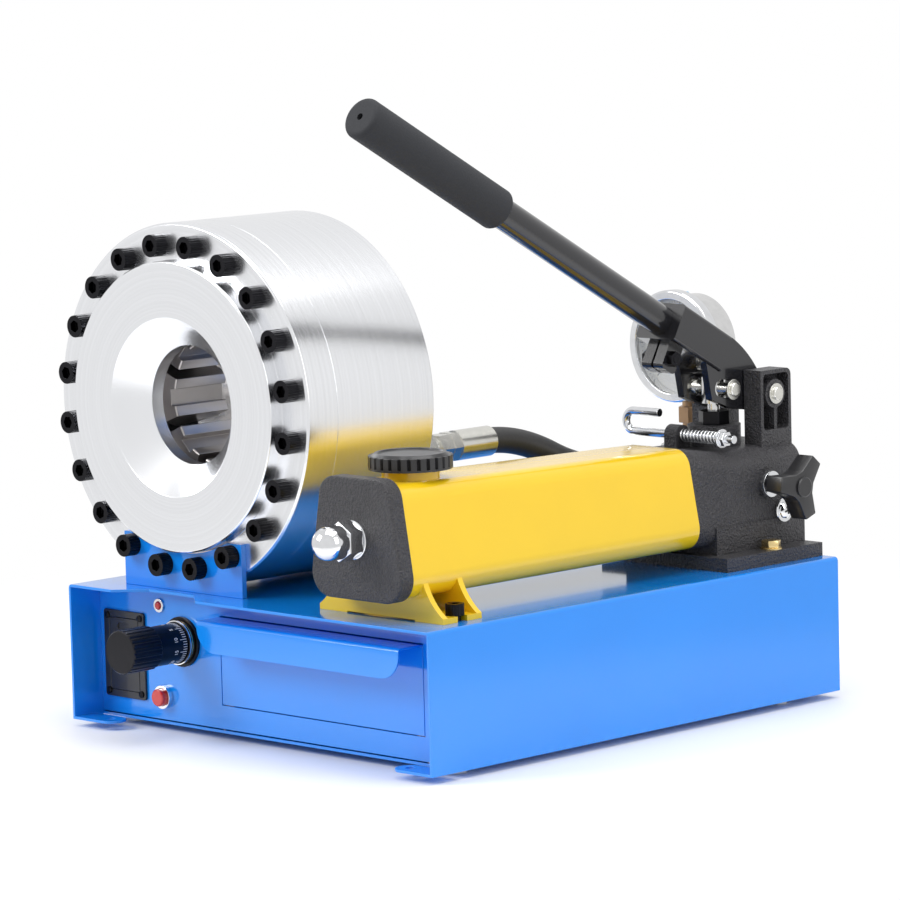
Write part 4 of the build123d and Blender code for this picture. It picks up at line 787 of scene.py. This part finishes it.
finish_piece([(washer, cap_face), (dome, cap_face),
              (hexagon, cap_face @ shift(0, -WASHER_T, 0) @ TO_FRONT)],
             "domed_nut", CHROME, "chrome", angle=35, replaces=["cap_nut"])
print("nut", NUT_AF, "mm across its flats")

# %% [markdown]
# ## The filler cap
# The cap is a disc with rounded grooves round its rim and a shallow recess in its top. One groove
# is seven points, and the loop repeats them round the rim. A thin plain skirt closes the grooves
# below, and a plug goes down into the neck.

# %% Filler cap
CAP_R, CAP_H, GROOVES = 29.2, 11.3, 27
RIBS_H, SKIRT_H, SKIRT_T = 9.3, 1.4, 3
RECESS, PLUG_R, PLUG_LENGTH = 1.0, 14.9, 7
ONE_GROOVE = ((-0.30, 0), (-0.18, 0), (0.18, 0), (0.30, 0), (0.42, 1.9), (0.50, 2.4), (0.58, 1.9))
outline = [polar(CAP_R - dip, 2 * pi * (n + share) / GROOVES)
           for n in range(GROOVES) for share, dip in ONE_GROOVE]
crown = lathe([(CAP_R - 2.2, RIBS_H), (CAP_R - 4.6, CAP_H), (CAP_R - 6.5, CAP_H),
               (CAP_R - 7.2, CAP_H - RECESS), (0, CAP_H - RECESS), (0, RIBS_H - 0.3),
               (CAP_R - 2.2, RIBS_H - 0.3)], "Z", 96)
skirt = lathe([(CAP_R, 0), (CAP_R, SKIRT_H), (CAP_R - SKIRT_T, SKIRT_H), (CAP_R - SKIRT_T, 0)],
              "Z", 96)
plug = lathe([(0, -PLUG_LENGTH), (PLUG_R, -PLUG_LENGTH), (PLUG_R, 1), (0, 1)], "Z", 64)
neck = middle("filler_cap")
rim = at((neck.x, neck.y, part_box("filler_cap")[1].z - CAP_H * MM))
finish_piece([(prism(outline, RIBS_H), rim), (crown, rim), (skirt, rim), (plug, rim)],
             "ribbed_cap", BLACK, "black_plastic", "filler_cap", edge=0.3,
             replaces=["filler_cap"])
print("filler cap with", GROOVES, "grooves")

# %% [markdown]
# ## Three-wing knob
# The knob's outline has three wings and three shallow valleys. It is extruded along X, with a
# boss on its face and a hub behind.

# %% Release knob
WING_R, WING_HALF, WING_T = 24, 5.5, 15
VALLEY_R, VALLEY_HALF = 11.5, 18
BOSS_R, BOSS_H = 7.5, 2
HUB_BORE, HUB_R, HUB_LENGTH, HUB_BACK = 6.1, 9, 5, 18
star = []
for wing in range(3):
    turn = radians(50 + 120 * wing)
    out, across = Vector(polar(1, turn)), Vector(polar(1, turn + pi / 2))
    star += [tuple(out * WING_R - across * WING_HALF), tuple(out * WING_R + across * WING_HALF)]
    star += [polar(VALLEY_R, turn + radians(60 + side * VALLEY_HALF)) for side in (-1, 1)]
boss = lathe([(0, 0), (BOSS_R, 0), (BOSS_R, 1.4), (BOSS_R - 0.9, BOSS_H), (0, BOSS_H)])
hub = lathe([(HUB_BORE, 0), (HUB_R, 0), (HUB_R, HUB_LENGTH), (HUB_BORE, HUB_LENGTH)])
stem = middle("valve_stem")
knob_face = at((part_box("valve_knob")[1].x - BOSS_H * MM, stem.y, stem.z), TO_SIDE)
finish_piece([(prism(star, WING_T, 1.0), knob_face @ shift(0, 0, -WING_T)), (boss, knob_face),
              (hub, knob_face @ shift(0, 0, -HUB_BACK))],
             "wing_knob", BLACK, "black_plastic", "release_valve", replaces=["valve_knob"])
print("knob", 2 * WING_R, "mm over its wings")

# %% [markdown]
# ## Bolts of the pump
# The pump's flange bolts are yellow zinc, and those in the tank's foot are black socket screws.
# Each bolt is a head and a plain shank that goes down through the deck.

# %% Pump bolts
BASE_T, BASE_BOLT_HALF = 10, 53.3
FOOT_T, FOOT_BOLT_HALF = 4, 53
FLANGE_R, FLANGE_T, HEX_R, HEX_H = 8, 1.6, 7.4, 6.6
SHANK_R, BASE_SHANK, FOOT_SHANK = 4, 22, 16
FOOT_SCREW = (6.5, 8, 6, 4)             # radius, height, socket across its flats, socket depth
base_y = middle("gland_nut").y
foot_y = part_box("pump_bolts")[0].y + FOOT_SCREW[0] * MM
hexes, sockets = [], []
for side in (-1, 1):
    base = at((pump.x + side * BASE_BOLT_HALF * MM, base_y, deck + BASE_T * MM))
    flange = lathe([(0, 0), (FLANGE_R, 0), (FLANGE_R, 1), (FLANGE_R - 1, FLANGE_T), (0, FLANGE_T)])
    hexes += [(flange, base), (prism(ring_of(6, HEX_R, side), HEX_H, 0.5), base),
              (prism(ring_of(24, SHANK_R), BASE_SHANK), base @ shift(0, 0, -BASE_SHANK))]
    foot = at((pump.x + side * FOOT_BOLT_HALF * MM, foot_y, deck + FOOT_T * MM))
    sockets += [(socket_screw(*FOOT_SCREW), foot),
                (prism(ring_of(24, SHANK_R), FOOT_SHANK), foot @ shift(0, 0, -FOOT_SHANK))]
finish_piece(hexes, "hex_bolts", YELLOW_ZINC, "zinc", angle=35, replaces=["pump_bolts"])
finish_piece(sockets, "foot_screws", OXIDE, "black_oxide", angle=35, replaces=["pump_bolts"])
print("four bolts on the pump")

# %% [markdown]
# ## A plug screw
# Below the release knob a cross-slot screw with a washer closes a drilling. No slot is cut: its
# cross is painted shade, two thin dark bars set in the rounded head where the slot's shade falls.

# %% Cross-slot plug screw
BODY_HALF, PLUG_BACK, PLUG_DOWN = 44.9, 14.3, 20.6
BAR, BAR_HALF, CROSS_HEIGHT = 3, 0.6, 3.85
disc = lathe([(0, 0), (9, 0), (9, 0.8), (8.6, 1.2), (0, 1.2)])
pan = lathe([(0, 1.2), (6.2, 1.2), (6.0, 2.4), (4.2, 3.6), (0, 4)])
seat = at((pump.x + BODY_HALF * MM, stem.y + PLUG_BACK * MM, stem.z - PLUG_DOWN * MM), TO_SIDE)
finish_piece([(disc, seat), (pan, seat)], "plug_screw", CHROME, "zinc")
bar = [(-BAR, -BAR_HALF), (BAR, -BAR_HALF), (BAR, BAR_HALF), (-BAR, BAR_HALF)]
# The dark cross is painted shade that stands for the shade inside a slot that is not cut.
finish_piece([(prism(bar, 0.3), seat @ shift(0, 0, CROSS_HEIGHT) @ spin_z(radians(turn)))
              for turn in (20, 110)], "plug_cross_painted_shade", INK_AND_PAINTED_SHADE, "black_oxide")
print("plug screw made")

# %% [markdown]
# ## The gauge's face
# Ticks are thin raised strips, and numbers are plain figures in the default font. The gauge reads
# from zero at the lower left to sixty at the lower right, and its needle rests on zero. A small
# blue plug stands on top of the case.


# %% Ticks, figures and needle
def strip(length, width):
    """A thin bar along X, on the XY plane, centred."""
    x, y = length / 2, width / 2
    return prism([(-x, -y), (x, -y), (x, y), (-x, y)], 0.12)


def figure(text, size):
    """A number as a thin solid, centred on the XY plane."""
    curve = bpy.data.curves.new("figure", "FONT")
    curve.body = text
    curve.size = size
    curve.align_x, curve.align_y = "CENTER", "CENTER"
    curve.extrude = 0.06
    curve.resolution_u = 3
    holder = bpy.data.objects.new("figure", curve)
    mesh = bpy.data.meshes.new_from_object(holder)
    bm = bmesh.new()
    bm.from_mesh(mesh)
    bpy.data.objects.remove(holder)
    bpy.data.curves.remove(curve)
    bpy.data.meshes.remove(mesh)
    return bm


SCALE_R, FIGURE_R = 34, 25
ZERO_AT, FULL, SWEEP = 225, 60, 270     # degrees, units, degrees
gauge = middle("gauge_dial")
gauge_face = at((gauge.x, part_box("gauge_dial")[0].y - 0.02 * MM, gauge.z), TO_FRONT)
marks = []
for n in range(FULL + 1):
    turn = radians(ZERO_AT - SWEEP / FULL * n)
    major = n % 10 == 0
    long = 4.5 if major else 3.2 if n % 5 == 0 else 2
    tick = strip(long, 0.7 if major else 0.35)
    marks.append((tick, gauge_face @ spin_z(turn) @ shift(SCALE_R - long / 2, 0, 0)))
    if major:
        marks.append((figure(str(n), 5.4), gauge_face @ shift(*polar(FIGURE_R, turn), 0)))
finish_piece(marks, "gauge_marks", INK_AND_PAINTED_SHADE, "black_plastic")

TAIL, TIP, BLADE_T = 9, 29, 0.8
SHAFT_R, SHAFT_LENGTH = 1.4, 9
blade = prism([(-TAIL, -1.6), (TIP, -0.4), (TIP, 0.4), (-TAIL, 1.6)], BLADE_T)
knuckle = lathe([(0, 0), (4, 0), (4, 1.4), (3.2, 2), (0, 2)])
shaft = prism(ring_of(24, SHAFT_R), SHAFT_LENGTH)
needle_at = at((gauge.x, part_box("gauge_needle")[0].y + 2.6 * MM, gauge.z), TO_FRONT)
finish_piece([(blade, needle_at @ spin_z(radians(ZERO_AT))), (knuckle, needle_at),
              (shaft, needle_at @ shift(0, 0, 0.1 - SHAFT_LENGTH))],
             "pointer", INK_AND_PAINTED_SHADE, "black_plastic", "gauge_needle", replaces=["gauge_needle"])

case_low, case_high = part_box("gauge_case")
stopper = lathe([(0, 0), (3.2, 0), (3.2, 2.2), (2.6, 2.8), (0, 2.8)])
case_top = (gauge.x, case_low.y * 0.55 + case_high.y * 0.45, case_high.z - 0.6 * MM)
finish_piece([(stopper, at(case_top))], "gauge_plug", CYAN, "black_plastic")
print(len(marks), "marks on the gauge")

# %% [markdown]
# ## The setting dial
# The dial's skirt has fifty ticks with a number at every fifth, and two bright rings divide the
# collar behind it.

# %% Dial marks
TICKS, SKIRT_R = 50, 14.32
RING_IN, RING_OUT, RING_W = 15.1, 15.9, 0.8
dial = middle("dial_thimble")
skirt_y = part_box("dial_thimble")[1].y
skirt_end = at((dial.x, skirt_y, dial.z))
lines = []
for n in range(TICKS):
    around = Matrix.Rotation(2 * pi * n / TICKS, 4, "Y") @ shift(0, 0, SKIRT_R)
    long = 6 if n % 5 == 0 else 3.5
    tick_at = skirt_end @ shift(0, -1 - long / 2, 0)
    lines.append((strip(long, 0.4), tick_at @ around @ spin_z(pi / 2)))
    if n % 5 == 0:
        lines.append((figure(str(n), 4.2), skirt_end @ shift(0, -10.5, 0) @ around @ spin_z(pi)))
finish_piece(lines, "dial_marks", WHITE_INK, "white_dial", "dial")
for index, (back, material) in enumerate(((0.8, CHROME), (2.6, BRASS))):
    band = lathe([(RING_IN, 0), (RING_OUT, 0), (RING_OUT, RING_W), (RING_IN, RING_W)], "Y", 96)
    finish_piece([(band, at((dial.x, skirt_y + back * MM, dial.z)))],
                 "collar_ring_%d" % index, material, "bright_steel")
print(len(lines), "marks on the dial")

# %% [markdown]
# ## Battery plate
# Four small screws hold the battery holder's plate to the panel.

# %% Battery plate screws
SCREW_IN = 4.2 * MM
plate_low, plate_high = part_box("battery_box")
heads = []
for x in (plate_low.x + SCREW_IN, plate_high.x - SCREW_IN):
    for z in (plate_low.z + SCREW_IN, plate_high.z - SCREW_IN):
        button = lathe([(0, 0), (2.6, 0), (2.4, -0.9), (1.2, -1.3), (0, -1.4)], "Y", 32)
        heads.append((button, at((x, plate_low.y + 0.02 * MM, z))))
finish_piece(heads, "plate_screws", OXIDE, "black_oxide")
print(len(heads), "plate screws")

# %% [markdown]
# ## Light, floor and backdrop
# A product stands on a pale sweep in a white room. The world is plain white to the camera and
# through glass, a little dimmer in reflections and dimmer still to matt surfaces. The floor fades
# out round the machine, so that it keeps the shadow and the rest is white.

# %% World and floor
ROOM_LIGHT = 0.55                       # what matt surfaces get from the room
GLEAM_EXTRA = 0.30                      # added for what shines
FLOOR_HALF = 6.0
FADE_FROM, FADE_TO = 0.42, 0.80
world = bpy.data.worlds.new("studio")
bpy.context.scene.world = world
world.use_nodes = True
tree = world.node_tree
tree.nodes.clear()
path = tree.nodes.new("ShaderNodeLightPath")
camera_ray, glass_ray, glossy_ray = [Socket(tree, path.outputs[name]) for name in (
    "Is Camera Ray", "Is Transmission Ray", "Is Glossy Ray")]
shine = tree.nodes.new("ShaderNodeBackground")
dim = tree.nodes.new("ShaderNodeBackground")
for backdrop in (shine, dim):
    backdrop.inputs["Color"].default_value = (1, 1, 1, 1)
gleam = glossy_ray * GLEAM_EXTRA + ROOM_LIGHT
tree.links.new(gleam.output, dim.inputs["Strength"])
both = tree.nodes.new("ShaderNodeMixShader")
out = tree.nodes.new("ShaderNodeOutputWorld")
tree.links.new(camera_ray.maths("MAXIMUM", camera_ray, glass_ray).output, both.inputs[0])
tree.links.new(dim.outputs[0], both.inputs[1])
tree.links.new(shine.outputs[0], both.inputs[2])
tree.links.new(both.outputs[0], out.inputs["Surface"])

floor_mesh = bpy.data.meshes.new("floor")
sweep = bmesh.new()
bmesh.ops.create_grid(sweep, x_segments=1, y_segments=1, size=FLOOR_HALF)
sweep.to_mesh(floor_mesh)
sweep.free()
floor = bpy.data.objects.new("floor", floor_mesh)
bpy.context.scene.collection.objects.link(floor)
floor.location.z = cad_box[0].z
pale = Finish("pale_floor", (0.95, 0.95, 0.95), roughness=0.55)
east, north, _ = pale.split(pale.place())
pale.set("Alpha", pale.add("MapRange", {"interpolation_type": "SMOOTHSTEP"}, {
    "Value": (east * east + north * north) ** 0.5, "From Min": FADE_FROM, "From Max": FADE_TO,
    "To Min": 1.0, "To Max": 0.0}))
floor_mesh.materials.append(pale.material)
print("floor at", floor.location.z)

# %% [markdown]
# ## Lamps
# Three soft lamps shape the forms: a broad one from the left front, one overhead and a weak one
# from the right.


# %% Lamps
AIM = Vector((0, 0, 0.2))


def softbox(name, place, size, power):
    """A rectangular lamp that looks at the middle of the machine."""
    lamp = bpy.data.lights.new(name, "AREA")
    lamp.shape = "RECTANGLE"
    lamp.size, lamp.size_y = size
    lamp.energy = power
    holder = bpy.data.objects.new(name, lamp)
    bpy.context.scene.collection.objects.link(holder)
    holder.location = place
    holder.rotation_euler = (AIM - Vector(place)).to_track_quat("-Z", "Y").to_euler()


softbox("key", (-1.6, -2.4, 2.0), (1.6, 1.6), 66)
softbox("top", (0.4, 0.2, 2.6), (2.2, 2.2), 45)
softbox("fill", (2.6, 0.4, 1.2), (1.2, 1.8), 22)
bpy.context.scene.view_settings.view_transform = "Standard"
print("three lamps")
